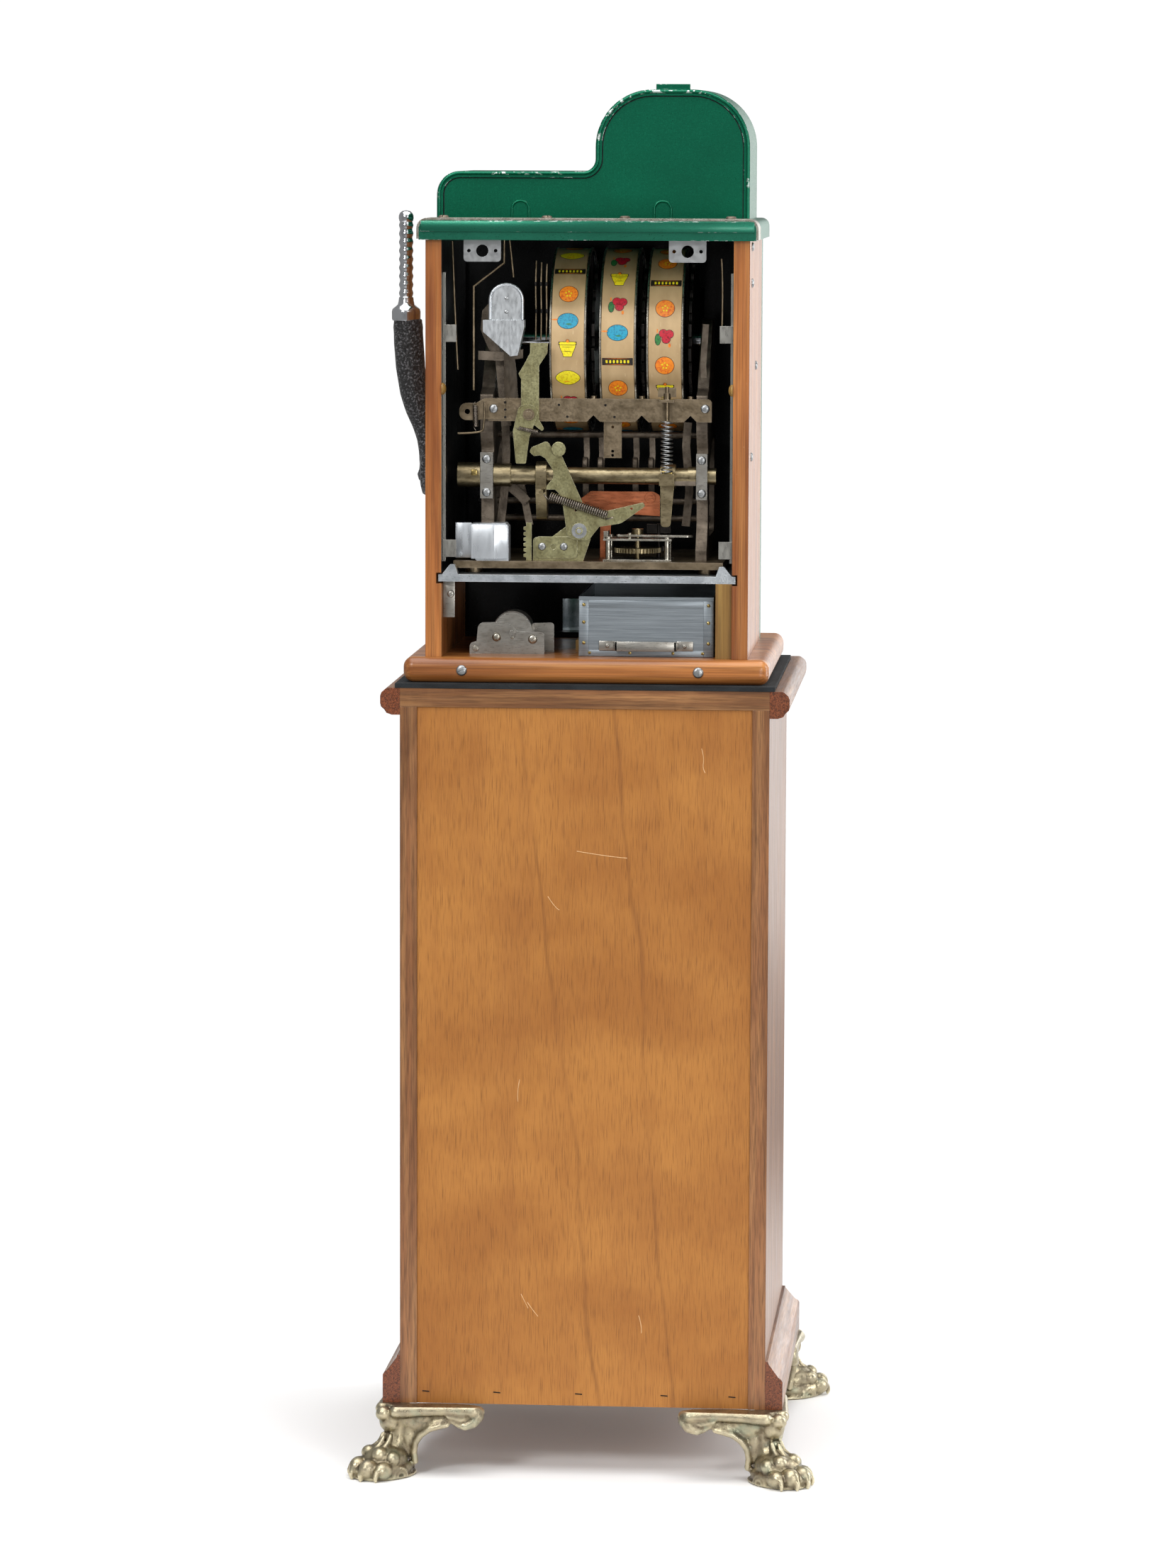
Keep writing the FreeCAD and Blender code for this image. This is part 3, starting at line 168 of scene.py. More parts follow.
def edges(tree, radius, low=0.02, high=0.2):
    """One along sharp edges, out to a radius in millimetres, and nought on flat faces."""
    soft = add(tree, "Bevel", {"Radius": radius * MM}, samples=6).outputs[0]
    flat = add(tree, "NewGeometry").outputs["Normal"]
    turn = add(tree, "VectorMath", {0: soft, 1: flat}, operation="DOT_PRODUCT").outputs["Value"]
    return add(tree, "MapRange", {"Value": turn, "From Min": 1 - low, "From Max": 1 - high}).outputs[0]


def dress(tree, shader, tone, roughness=None, height=None, depth=0.1, edge=None):
    """Links a colour, a roughness and a relief of this depth in millimetres to the shader."""
    tree.links.new(tone, shader.inputs["Base Color"])
    if roughness is not None:
        tree.links.new(roughness, shader.inputs["Roughness"])
    if height is not None:
        relief = {"Height": height, "Distance": depth * MM}
        if edge:
            relief["Normal"] = add(tree, "Bevel", {"Radius": edge * MM}, samples=4).outputs[0]
        tree.links.new(add(tree, "Bump", relief).outputs[0], shader.inputs["Normal"])


def wood(name, along, base, dark, pale, streak=1.6, run=140, gloss=0.35, coat=0.4, pores=0.5,
         extra=None):
    """Sawn wood with its grain along one axis: soft tone bands, fine streaks and short dark pores."""
    def stretched(across, lengthways):
        size = [across] * 3
        size[along] = lengthways
        return size

    tree, shader = start(name, Coat_Weight=coat, Coat_Roughness=0.22, IOR=1.5, Specular_IOR_Level=0.3)
    tone = layer(tree, base, dark, grain(tree, stretched(26, 420), 0.35, 0.65, twist=0.6))
    # Bands a few millimetres wide, coarser than the real grain so that they show from a distance.
    tone = layer(tree, tone, dark, grain(tree, stretched(4.5, 300), 0.48, 0.72, 0, 0.4, 3, 0.4))
    tone = layer(tree, tone, pale, grain(tree, stretched(9, 260), 0.45, 0.75, 0, 0.75))
    fine = grain(tree, stretched(streak, run), 0.42, 0.7, 0, pores)
    tone = layer(tree, tone, [c * 0.45 for c in linear(dark)[:3]] + [1], fine)
    tone = layer(tree, tone, pale, grain(tree, (40, 40, 70), 0.6, 0.8, 0, 0.25))
    if extra:
        tone = extra(tree, tone)
    dents = add(tree, "Math", {0: fine, 1: grain(tree, 14, 0.3, 0.7, 0, 0.5)},
                operation="SUBTRACT").outputs[0]
    dress(tree, shader, tone, grain(tree, stretched(3, 60), 0.3, 0.7, gloss - 0.07, gloss + 0.1),
          dents, depth=0.12, edge=1.2)


def metal(name, main, stain, patch, rough, size=3, depth=0.03, metallic=1.0, amount=0.8, bright=None):
    """Bare or plated metal with stains of a size in millimetres and a fine relief."""
    tree, shader = start(name, Metallic=metallic)
    tone = layer(tree, main, stain, grain(tree, patch, 0.35, 0.68, 0, amount, 6))
    tone = layer(tree, tone, stain, grain(tree, [p / 4 for p in patch], 0.55, 0.75, 0, amount / 2, 3))
    if bright:
        tone = layer(tree, tone, bright, edges(tree, 0.7), grain(tree, 6, 0.3, 0.6))
    dress(tree, shader, tone, grain(tree, size, 0.3, 0.7, rough - 0.08, rough + 0.1), grain(tree, size),
          depth, edge=0.4)


# Half the width inside the case, and the levels between which its walls are painted black.
CASE_INSIDE, WORKS_BAY = 161.3, (1012, 1380)


def make_woods():
    """The case's gum wood, the stand's oak, its plywood back and the pine of the runners."""
    base = tuple(colours().case_wood)

    def blackened(tree, tone):
        """The case is painted black inside, above the cash bay, out to the rabbet round the back."""
        tone = layer(tree, tone, "#0B0C0D", inside(tree, 0, -CASE_INSIDE, CASE_INSIDE),
                     inside(tree, 2, *WORKS_BAY))
        return layer(tree, tone, "#D9B48A", grain(tree, (1.5, 1.5, 9), 0.74, 0.78),
                     grain(tree, 60, 0.5, 0.6))

    # Shellacked gum wood: warm orange brown, a fine straight grain, dull gloss and pale dents.
    wood("shellacked_gum", 2, base, "#7A431D", "#C1864A", 1.3, 90, 0.34, 0.3, 0.5, blackened)
    wood("shellacked_gum_across", 0, base, "#7A451E", "#C1884B", 1.6, 120, 0.32, 0.35, 0.5)
    oak = tuple(colours().stand_oak)

    def end_grain(tree, tone):
        """Sawn ends of the mouldings, at the back, show dark growth rings crossed by rays."""
        rings = grain(tree, (1.6, 3, 1.6), 0.4, 0.6, 0, 1, 2, 1.5)
        ends = layer(tree, "#804527", "#43200F", rings)
        return layer(tree, tone, ends, inside(tree, 1, 215.3, 230))

    # Stained oak: brown with coarse dark pores that run with the board.
    wood("stained_oak_upright", 2, oak, "#603C22", "#AB7C4E", 1.1, 26, 0.36, 0.3, 0.6)
    wood("stained_oak_across", 0, oak, "#664226", "#B28353", 1.1, 26, 0.36, 0.3, 0.55)
    wood("stained_oak_deep", 1, oak, "#603C22", "#AB7C4E", 1.2, 24, 0.36, 0.3, 0.6, end_grain)
    # Lauan plywood: an even tan face, fine upright fibres, broad blotches and two wandering heart lines.
    tree, shader = start("lauan_plywood", Coat_Weight=0.05, Coat_Roughness=0.35, Specular_IOR_Level=0.25)
    tone = layer(tree, tuple(colours().back_panel), "#A97135", grain(tree, (130, 130, 90), 0.35, 0.65))
    tone = layer(tree, tone, "#8A5528", grain(tree, (36, 36, 330), 0.46, 0.62, 0, 0.22, 3, 0.8))
    tone = layer(tree, tone, "#5E3717", grain(tree, (0.9, 0.9, 22), 0.5, 0.72, 0, 0.55))
    place = add(tree, "TexCoord").outputs["Object"]
    for lean, shift in ((-0.126, 0.0334), (-0.0676, 0.1003)):
        line = add(tree, "Mapping", {"Vector": place, "Rotation": (0, lean, 0), "Location": (shift, 0, 0)})
        across = add(tree, "SeparateXYZ", {0: line.outputs[0]}).outputs[0]
        wander = grain(tree, (90, 90, 230), 0.3, 0.7, -0.011, 0.011, 2)
        away = add(tree, "Math", {0: across, 1: wander}, operation="ADD").outputs[0]
        away = add(tree, "Math", {0: away}, operation="ABSOLUTE").outputs[0]
        near = add(tree, "MapRange", {"Value": away, "From Min": 0.0005, "From Max": 0.0035, "To Min": 0.32,
                                      "To Max": 0.0}).outputs[0]
        tone = layer(tree, tone, "#5E351A", near, grain(tree, (60, 60, 130), 0.35, 0.55, 0.2, 1))
    dress(tree, shader, tone, grain(tree, (3, 3, 30), 0.3, 0.7, 0.42, 0.58), grain(tree, (0.9, 0.9, 22)),
          0.06, 0.6)
    # Bare lauan where the finish is scratched through: pale and fibrous.
    tree, shader = start("bare_lauan", Roughness=0.7)
    dress(tree, shader, layer(tree, "#D9B081", "#B98B57", grain(tree, (1, 1, 9))), None,
          grain(tree, (0.7, 0.7, 5)), 0.05)
    # Varnished pine: yellow brown runners beside the cash box.
    wood("varnished_pine", 2, "#8B6A33", "#6F4E22", "#A98748", 1.5, 80, 0.45, 0.2)


def make_enamels():
    """The green enamel, the handle's black lacquer, and rubber."""
    base, bare = tuple(colours().enamel), "#C4CBC8"
    for name, tone, nicks in (("green_enamel_hammered", base, 0.5), ("green_enamel_worn_rim", base, 0.5),
                              ("green_enamel_cap", "#1F6550", 0.35)):
        # Stoved metallic enamel: deep green with aluminium flake under a glossy coat, chipped to metal.
        tree, shader = start(name, Coat_Weight=0.15, Coat_Roughness=0.12, Metallic=0.7,
                             Specular_IOR_Level=0.25)
        tone = layer(tree, tone, "#1E8A66", grain(tree, 1.1, 0.5, 0.75, 0, 0.28, 2))
        tone = layer(tree, tone, "#04402E", grain(tree, (80, 80, 60), 0.3, 0.7, 0, 0.3))
        tone = layer(tree, tone, bare, edges(tree, 1.6, 0.03, 0.1), grain(tree, 5, 0.5, 0.56, detail=3),
                     grain(tree, 34, 0.5, 0.54))
        tone = layer(tree, tone, bare, grain(tree, 2.2, 0.76, 0.78), grain(tree, 70, 0.5, 0.55, 0, nicks))
        if name == "green_enamel_worn_rim":
            tone = layer(tree, tone, bare, grain(tree, 5, 0.53, 0.56, 0, 0.8), grain(tree, 48, 0.49, 0.53))
        # The front casting's hollow is lined in black.
        tone = layer(tree, tone, "#08090A", inside(tree, 1, -99.5, -60), inside(tree, 0, -177, 177),
                     inside(tree, 2, 900, 1379.5))
        dress(tree, shader, tone, grain(tree, 1.5, 0.3, 0.7, 0.26, 0.42), grain(tree, 1.2), 0.02, 1.0)
    # Wrinkle lacquer over iron: black, with millimetre-sized wrinkles that catch the light, and grey specks
    # in the colour that are painted glints on them.
    tree, shader = start("black_wrinkle_lacquer", Coat_Weight=0.25, Coat_Roughness=0.2)
    painted_glint_speckle = layer(tree, "#0B0B0C", "#6C6C6F", grain(tree, 2.4, 0.52, 0.64, 0, 1, 3))
    dress(tree, shader, painted_glint_speckle, grain(tree, 2, 0.3, 0.7, 0.32, 0.5),
          grain(tree, 2.6, 0.42, 0.58, 0, 1, 3, 1.2), 1.6)
    # Cellular rubber in the mat: near black and matt, with fine pits. The same black draws the painted
    # shadow line in the groove of the top casting.
    tree, shader = start("cellular_rubber_and_shadow", Roughness=0.85, Specular_IOR_Level=0.3)
    dress(tree, shader, layer(tree, "#16181A", "#24282B", grain(tree, (30, 30, 8))), None,
          grain(tree, 0.9), 0.25, 1.0)


def make_metals():
    """The metals of the works, the castings, the handle and the feet."""
    # Cast aluminium, rough from the sand and bright where rubbed.
    metal("cast_aluminium", "#C6CBCF", "#969CA1", (14, 14, 9), 0.34, 1.3, 0.08, bright="#F1F3F4")
    # Pressed aluminium sheet, soft sheen.
    metal("pressed_aluminium", "#D3D7DB", "#A9AFB5", (30, 30, 50), 0.3, (5, 5, 30), 0.006, 0.75, 0.35)
    # Galvanised sheet: blue grey, rolled lines from side to side and faint spangle.
    metal("galvanised_sheet", "#8F969B", "#6C7378", (60, 20, 1.2), 0.42, (40, 40, 0.8), 0.03, 0.85, 0.6,
          bright="#A9B4BA")
    # Zinc plated and yellow passivated steel: pale straw green with brown handling stains.
    metal("yellow_passivated_steel", "#A8A47C", "#79724F", (16, 16, 22), 0.36, 2, 0.02, bright="#E3E0C4")
    # Oiled mild steel: brown grey with dark stains and scratches.
    metal("oiled_mild_steel", "#8B7C66", "#5A4E3C", (16, 16, 10), 0.4, 2, 0.03, bright="#A99C8C")
    # Grey cast iron under old grease.
    metal("greased_cast_iron", "#7A6F62", "#423A32", (15, 15, 15), 0.5, 1.6, 0.12, 0.85, bright="#857A6B")
    # Blackened steel: the dark wheels and links deep in the works.
    metal("blackened_steel", "#2A2725", "#141312", (12, 12, 12), 0.42, 2, 0.04, 0.9, bright="#6A645C")
    # Drawn bronze-coloured shafting, dull with rubbed bright bands.
    metal("drawn_shafting", "#9A8D70", "#62563E", (22, 12, 12), 0.34, (3, 1, 1), 0.03, bright="#C2B489")
    # Half-hard copper sheet with a brushed, slightly tarnished face.
    metal("copper_sheet", "#E08A62", "#B2603D", (24, 24, 24), 0.3, (14, 3, 2), 0.006, amount=0.5)
    # Nickelled steel, dulled and brown in the corners.
    metal("nickelled_steel", "#BAB6AB", "#7A7160", (8, 8, 8), 0.3, 2, 0.02, bright="#DAD8D0")
    # Clock brass: yellow and turned bright.
    metal("clock_brass", "#A8935C", "#6F5E38", (10, 10, 10), 0.32, 2, 0.02, bright="#D9C68E")
    # Rolled steel plate and turned caps: grey, dulled by handling, with brown stains.
    metal("rolled_steel_plate", "#A5A29B", "#6F675B", (24, 24, 18), 0.32, (8, 1, 1), 0.015, 0.9, 0.5,
          bright="#D2D0CA")
    # Spring steel wire, dark and oiled; and the plated kind.
    metal("spring_steel", "#8F867C", "#5A5149", (8, 8, 8), 0.32, 1, 0.01)
    metal("plated_steel", "#A3A5A6", "#7F7E7B", (26, 26, 26), 0.38, 6, 0.004, amount=0.25)
    # Two-part finishes: a blackened bar with bright worn tabs, and a bright chute on an oily steel arm.
    for name, dark, bright, split in (("bolt_steel", "#1E1C1A", "#A5A39C", 181.9),
                                      ("spun_aluminium", "#5A5044", "#D6DADD", 139.2)):
        tree, shader = start(name, Metallic=0.95)
        tone = layer(tree, dark, bright, inside(tree, 1, split, 400))
        tone = layer(tree, tone, "#6E6C68", grain(tree, (26, 26, 40), 0.4, 0.75, 0, 0.3))
        dress(tree, shader, tone, grain(tree, (3, 3, 9), 0.3, 0.7, 0.24, 0.4), grain(tree, (2, 2, 8)),
              0.015, 0.6)
    # Bright chromium over brass: a mirror with faint handling haze.
    tree, shader = start("bright_chromium", Metallic=1.0)
    dress(tree, shader, layer(tree, "#C8CACD", "#8F9193", grain(tree, (6, 6, 14), 0.5, 0.7, 0, 0.5)),
          grain(tree, 4, 0.35, 0.7, 0.06, 0.18))
    # Aged cast brass: dull gold on high places, grey green and brown in the hollows, and a pale painted
    # highlight on the sharpest ridges.
    tree, shader = start("aged_cast_brass", Metallic=0.9)
    tone = layer(tree, tuple(colours().brass), "#A59A7E", grain(tree, (16, 16, 12), 0.38, 0.62))
    tone = layer(tree, tone, "#7D8C7A", grain(tree, (22, 22, 16), 0.54, 0.68, 0, 0.55))
    tone = layer(tree, tone, "#4E4330", grain(tree, 9, 0.52, 0.7, 0, 0.7))
    # The pale colour where the surface is most convex (high) is a painted highlight on the ridges; the dark
    # colour where it is concave (low) is patina in the hollows.
    point = add(tree, "NewGeometry").outputs["Pointiness"]
    high = add(tree, "MapRange", {"Value": point, "From Min": 0.5, "From Max": 0.56}).outputs[0]
    low = add(tree, "MapRange", {"Value": point, "From Min": 0.5, "From Max": 0.44,
                                 "To Max": 0.8}).outputs[0]
    tone = layer(tree, tone, "#33291C", low)
    tone = layer(tree, tone, "#DDD3B4", high)
    dress(tree, shader, tone, grain(tree, 7, 0.3, 0.7, 0.24, 0.42), grain(tree, 1.4), 0.12)


def make_papers():
    """The reels' strips and their inks, and the window's glass."""
    # Lacquered paper strip: gold tan with a satin sheen and faint rubbing.
    tree, shader = start("gold_lacquered_strip", Metallic=0.25, Coat_Weight=0.3, Coat_Roughness=0.25)
    tone = layer(tree, tuple(colours().strip), "#A98C62", grain(tree, (14, 30, 30), 0.35, 0.7, 0, 0.6))
    tone = layer(tree, tone, "#E2CDA4", grain(tree, (2, 9, 9), 0.68, 0.76, 0, 0.6))
    dress(tree, shader, tone, grain(tree, 8, 0.3, 0.7, 0.34, 0.46), grain(tree, 1), 0.01)
    # Printing inks: flat, slightly mottled colours on the strip.
    for name, code, second in (("ink_yellow", "#F0E01E", "#D9BE12"), ("ink_orange", "#F08A1C", "#D9601A"),
                               ("ink_blue", "#1E9DBD", "#157A9C"), ("ink_red", "#C4152F", "#8F0F26"),
                               ("ink_green", "#2E7B3A", "#1D5A2C"), ("ink_black", "#140E0B", "#241B14")):
        tree, shader = start(name, Roughness=0.45)
        dress(tree, shader, layer(tree, code, second, grain(tree, 2.2, 0.5, 0.62)), None,
              grain(tree, 1), 0.01)
    # Plate glass over the reel window, with a faint green body.
    start("plate_glass", Base_Color=linear("#EAF4F0"), Roughness=0.03, Transmission_Weight=1.0, IOR=1.5)


# Shapes, in millimetres

def moved(shape, matrix):
    """The shape, taken through a matrix."""
    bmesh.ops.transform(shape, matrix=matrix, verts=shape.verts)
    return shape


def outward(shape):
    """Turns every face to look out of the shape."""
    bmesh.ops.recalc_face_normals(shape, faces=shape.faces)
    return shape


def as_mesh(name, shape):
    """Turns a shape into a mesh and frees it."""
    mesh = bpy.data.meshes.new(name)
    shape.to_mesh(mesh)
    shape.free()
    return mesh


def joined(*shapes):
    """Puts the shapes into the first one."""
    for shape in shapes[1:]:
        mesh = as_mesh("part", shape)
        shapes[0].from_mesh(mesh)
        bpy.data.meshes.remove(mesh)
    return shapes[0]


def softened(shape, rounding):
    """Rounds every edge of a shape, where rounding is more than nought."""
    if rounding:
        bmesh.ops.bevel(shape, geom=shape.edges[:], offset=rounding, affect="EDGES", segments=2,
                        profile=0.5, material=-1)
    return shape


def block(x, y, z, rounding=0.5):
    """A box between two levels along each axis, with rounded edges."""
    shape = bmesh.new()
    low, high = Vector((x[0], y[0], z[0])), Vector((x[1], y[1], z[1]))
    bmesh.ops.create_cube(shape, size=1, matrix=Matrix.LocRotScale((low + high) / 2, None, high - low))
    return softened(shape, rounding)


def spun(points, steps, near):
    """Spins a line of points once round Z, and merges points nearer than this."""
    shape = bmesh.new()
    line = [shape.verts.new(point) for point in points]
    sides = [shape.edges.new(pair) for pair in zip(line, line[1:])]
    bmesh.ops.spin(shape, geom=line + sides, axis=(0, 0, 1), cent=(0, 0, 0), dvec=(0, 0, 0), angle=math.tau,
                   steps=steps, use_merge=True)
    bmesh.ops.remove_doubles(shape, verts=shape.verts, dist=near)
    return shape


def turned(profile, steps=32):
    """A turned shape of (radius, height) points. A line that ends at radius nought is closed there."""
    shape = spun([(radius, 0, height) for radius, height in profile], steps, 0.0005)
    return outward(shape)


def slab(outline, thick, rounding=0.0):
    """A flat plate with this (x, y) outline, from Z nought up."""
    shape = bmesh.new()
    face = shape.faces.new([shape.verts.new((x, y, 0)) for x, y in outline])
    grown = bmesh.ops.extrude_face_region(shape, geom=[face])["geom"]
    bmesh.ops.translate(shape, vec=(0, 0, thick),
                        verts=[v for v in grown if isinstance(v, bmesh.types.BMVert)])
    return softened(outward(shape), rounding)


def loft(rings, segments=32):
    """A skin over level rings, each (centre, half widths), closed at both ends."""
    shape = bmesh.new()
    loops = []
    for centre, half in rings:
        made = bmesh.ops.create_circle(shape, segments=segments, radius=1,
                                       matrix=Matrix.LocRotScale(Vector(centre), None, Vector((*half, 1))))
        loops.append({e for v in made["verts"] for e in v.link_edges})
    for one, two in zip(loops, loops[1:]):
        bmesh.ops.bridge_loops(shape, edges=list(one | two))
    bmesh.ops.holes_fill(shape, edges=shape.edges, sides=0)
    return outward(shape)


def aim(origin, direction):
    """Takes the Z axis to a direction at an origin."""
    return Matrix.Translation(origin) @ Vector(direction).to_track_quat("Z", "Y").to_matrix().to_4x4()


def stud(profile, place, direction=REAR, steps=32):
    """A turned shape whose foot is at a place and whose axis is along a direction."""
    return moved(turned(profile, steps), aim(place, direction))


def placed(name, data):
    """A new object in the scene."""
    item = bpy.data.objects.new(name, data)
    bpy.context.collection.objects.link(item)
    return item


def worked_out(item):
    """The mesh that an object's curve or modifiers give; the object itself goes."""
    bpy.context.view_layer.update()
    mesh = bpy.data.meshes.new_from_object(item.evaluated_get(bpy.context.evaluated_depsgraph_get()))
    bpy.data.objects.remove(item)
    return mesh


def finished(piece, body, replaces=()):
    """Hangs the piece on its body, and hides the CAD nodes that it stands for."""
    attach(piece, body)
    if replaces:
        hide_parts(*replaces)
    return piece


def make_piece(name, shape, material, body, replaces=(), sharp=35):
    """Turns a shape in millimetres into an object that rides on a body."""
    bmesh.ops.scale(shape, vec=(MM, MM, MM), verts=shape.verts)
    mesh = as_mesh(name, shape)
    for title in [material] if isinstance(material, str) else material:
        mesh.materials.append(MATERIALS[title])
    mesh.shade_smooth()
    mesh.set_sharp_from_angle(angle=math.radians(sharp))
    return finished(placed(name, mesh), body, replaces)


def make_wire(name, runs, thick, material, body, smooth=True, replaces=()):
    """Round wire along runs of points in millimetres."""
    curve = bpy.data.curves.new(name, "CURVE")
    curve.dimensions = "3D"
    curve.bevel_depth = thick / 2 * MM
    curve.bevel_resolution = 2
    curve.use_fill_caps = True
    curve.resolution_u = 6
    for run in runs:
        spline = curve.splines.new("NURBS" if smooth else "POLY")
        spline.points.add(len(run) - 1)
        for point, place in zip(spline.points, run):
            point.co = (*[c * MM for c in place], 1)
        if smooth:
            spline.order_u = 3
            spline.use_endpoint_u = True
    mesh = worked_out(placed(name + "_run", curve))
    mesh.name = name
    mesh.materials.clear()
    mesh.materials.append(MATERIALS[material])
    mesh.shade_smooth()
    return finished(placed(name, mesh), body, replaces)


def coil(start, end, radius, turns, wire, hooks=True):
    """The points of a coil spring between two places, with a straight hook at each end."""
    start, end = Vector(start), Vector(end)
    axis = end - start
    side = axis.cross((0, 1, 0) if abs(axis.normalized().y) < 0.9 else (0, 0, 1)).normalized()
    up = side.cross(axis).normalized()
    lead = axis.normalized() * radius * 1.3 if hooks else Vector()
    steps = int(turns * 14)
    body_start, body_end = start + lead, end - lead
    points = [start] if hooks else []
    for i in range(steps + 1):
        turn = math.tau * turns * i / steps
        spot = body_start.lerp(body_end, i / steps)
        points.append(spot + (side * math.cos(turn) + up * math.sin(turn)) * (radius - wire / 2))
    return points + ([end] if hooks else [])


def islands(node):
    """The lowest and highest corners, in millimetres, of each separate solid in a CAD node."""
    shape = bmesh.new()
    shape.from_mesh(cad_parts[node].data)
    bmesh.ops.remove_doubles(shape, verts=shape.verts, dist=1e-6)
    left, found = set(shape.verts), []
    while left:
        group, queue = set(), [left.pop()]
        while queue:
            vert = queue.pop()
            group.add(vert)
            near = {e.other_vert(vert) for e in vert.link_edges} & left
            left -= near
            queue.extend(near)
        spots = [v.co / MM for v in group]
        found.append((Vector([min(s[k] for s in spots) for k in range(3)]),
                      Vector([max(s[k] for s in spots) for k in range(3)])))
    shape.free()
    return sorted(found, key=lambda pair: tuple(pair[0]))


def corners(node):
    """The lowest and highest corners of a CAD node, in millimetres."""
    low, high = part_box(node)
    return low / MM, high / MM


# Pieces

FINISHES = {
    "shellacked_gum": ["cabinet_side_left", "cabinet_side_right"],
    "shellacked_gum_across": ["base_board"],
    "stained_oak_upright": ["stand_side_left", "stand_side_right", "stand_door", "stand_front_frame"],
    "stained_oak_across": ["stand_top_board", "stand_bottom_board"],
    "lauan_plywood": ["stand_back_panel"],
    "varnished_pine": ["cash_box_guides"],
    "cellular_rubber_and_shadow": ["machine_mat"],
    "green_enamel_hammered": ["front_casting", "top_casting", "top_casting_back"],
    "green_enamel_cap": ["top_cover"],
    "cast_aluminium": ["payout_cup", "shelf_casting"],
    "pressed_aluminium": ["coin_box"],
    "spun_aluminium": ["coin_chute"],
    "galvanised_sheet": ["cash_box"],
    "plated_steel": ["door_lugs"],
    "rolled_steel_plate": ["floor_bracket", "bearing_caps"],
    "oiled_mild_steel": ["tie_bar", "mech_base"],
    "yellow_passivated_steel": ["hook_lever", "latch_lever_upper", "latch_lever_lower",
                                "hook_lever_bracket"],
    "greased_cast_iron": ["mech_frame_left", "mech_frame_right"],
    "bolt_steel": ["lock_bars"],
    "blackened_steel": ["reel_one_star", "reel_two_star", "reel_three_star", "clock_fan",
                        "reel_one_drum", "reel_two_drum", "reel_three_drum"],
    "drawn_shafting": ["main_shaft", "clock_arm", "clock_gear"],
    "bright_chromium": ["reel_shaft"],
    "copper_sheet": ["copper_baffle"],
    "clock_brass": ["stand_door_fittings"],
    "nickelled_steel": ["clock_frame", "top_cover_trim"],
    "plate_glass": ["reel_glass"],
}


def paint_frame():
    """Gives every CAD node that stays in sight its material."""
    for title, nodes in FINISHES.items():
        for node in nodes:
            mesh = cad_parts[node].data
            mesh.materials.clear()
            mesh.materials.append(MATERIALS[title])


# Half the width of the stand under its mouldings, and how far back they run, in millimetres.
STAND_HALF, STAND_REAR = 205, 216


def moulding(profile, node):
    """A moulding run along both sides and the front, mitred at the two front corners."""
    x, y = STAND_HALF, STAND_REAR
    shape = bmesh.new()
    face = shape.faces.new([shape.verts.new((x + out, y, level)) for out, level in profile])
    for station in range(3):
        grown = bmesh.ops.extrude_face_region(shape, geom=[face])["geom"]
        face = [f for f in grown if isinstance(f, bmesh.types.BMFace)][0]
        for vert in face.verts:
            spot = vert.co
            if station == 0:
                vert.co = (spot.x, -y - (spot.x - x), spot.z)
            elif station == 1:
                vert.co = (-spot.x, spot.y, spot.z)
            else:
                vert.co = (spot.x, y, spot.z)
    outward(shape)
    for face in shape.faces:
        middle = face.calc_center_median()
        face.material_index = int(middle.y < -200 and abs(middle.x) < 100)
    make_piece(node + "_run", shape, ["stained_oak_deep", "stained_oak_across"], "cabinet", [node])


def make_mouldings():
    low, high = corners("crown_moulding")
    moulding([(0, low.z), (9, low.z), (15, low.z + 2), (17.5, low.z + 6), (21, low.z + 9), (22, low.z + 13),
              (22, high.z - 9), (20.5, high.z - 5), (16, high.z - 1), (14, high.z), (0, high.z)],
             "crown_moulding")
    low, high = corners("base_moulding")
    moulding([(0, low.z), (19.5, low.z), (19.5, high.z - 23), (18, high.z - 20), (15, high.z - 18),
              (4, high.z - 3), (3, high.z), (0, high.z)], "base_moulding")


def bead_run(shape, *beads):
    """Balls close together from bead to bead; a bead is (along, across, level, radius)."""
    for one, two in zip(beads, beads[1:]):
        count = max(2, int((Vector(one[:3]) - Vector(two[:3])).length / 1.6))
        for i in range(count + 1):
            spot = Vector(one).lerp(Vector(two), i / count)
            bmesh.ops.create_icosphere(shape, subdivisions=2, radius=spot[3],
                                       matrix=Matrix.Translation(spot[:3]))


def ball(shape, centre, half):
    """Adds a ball with these half widths to the shape."""
    bmesh.ops.create_icosphere(shape, subdivisions=3, radius=1,
                               matrix=Matrix.LocRotScale(Vector(centre), None, Vector(half)))


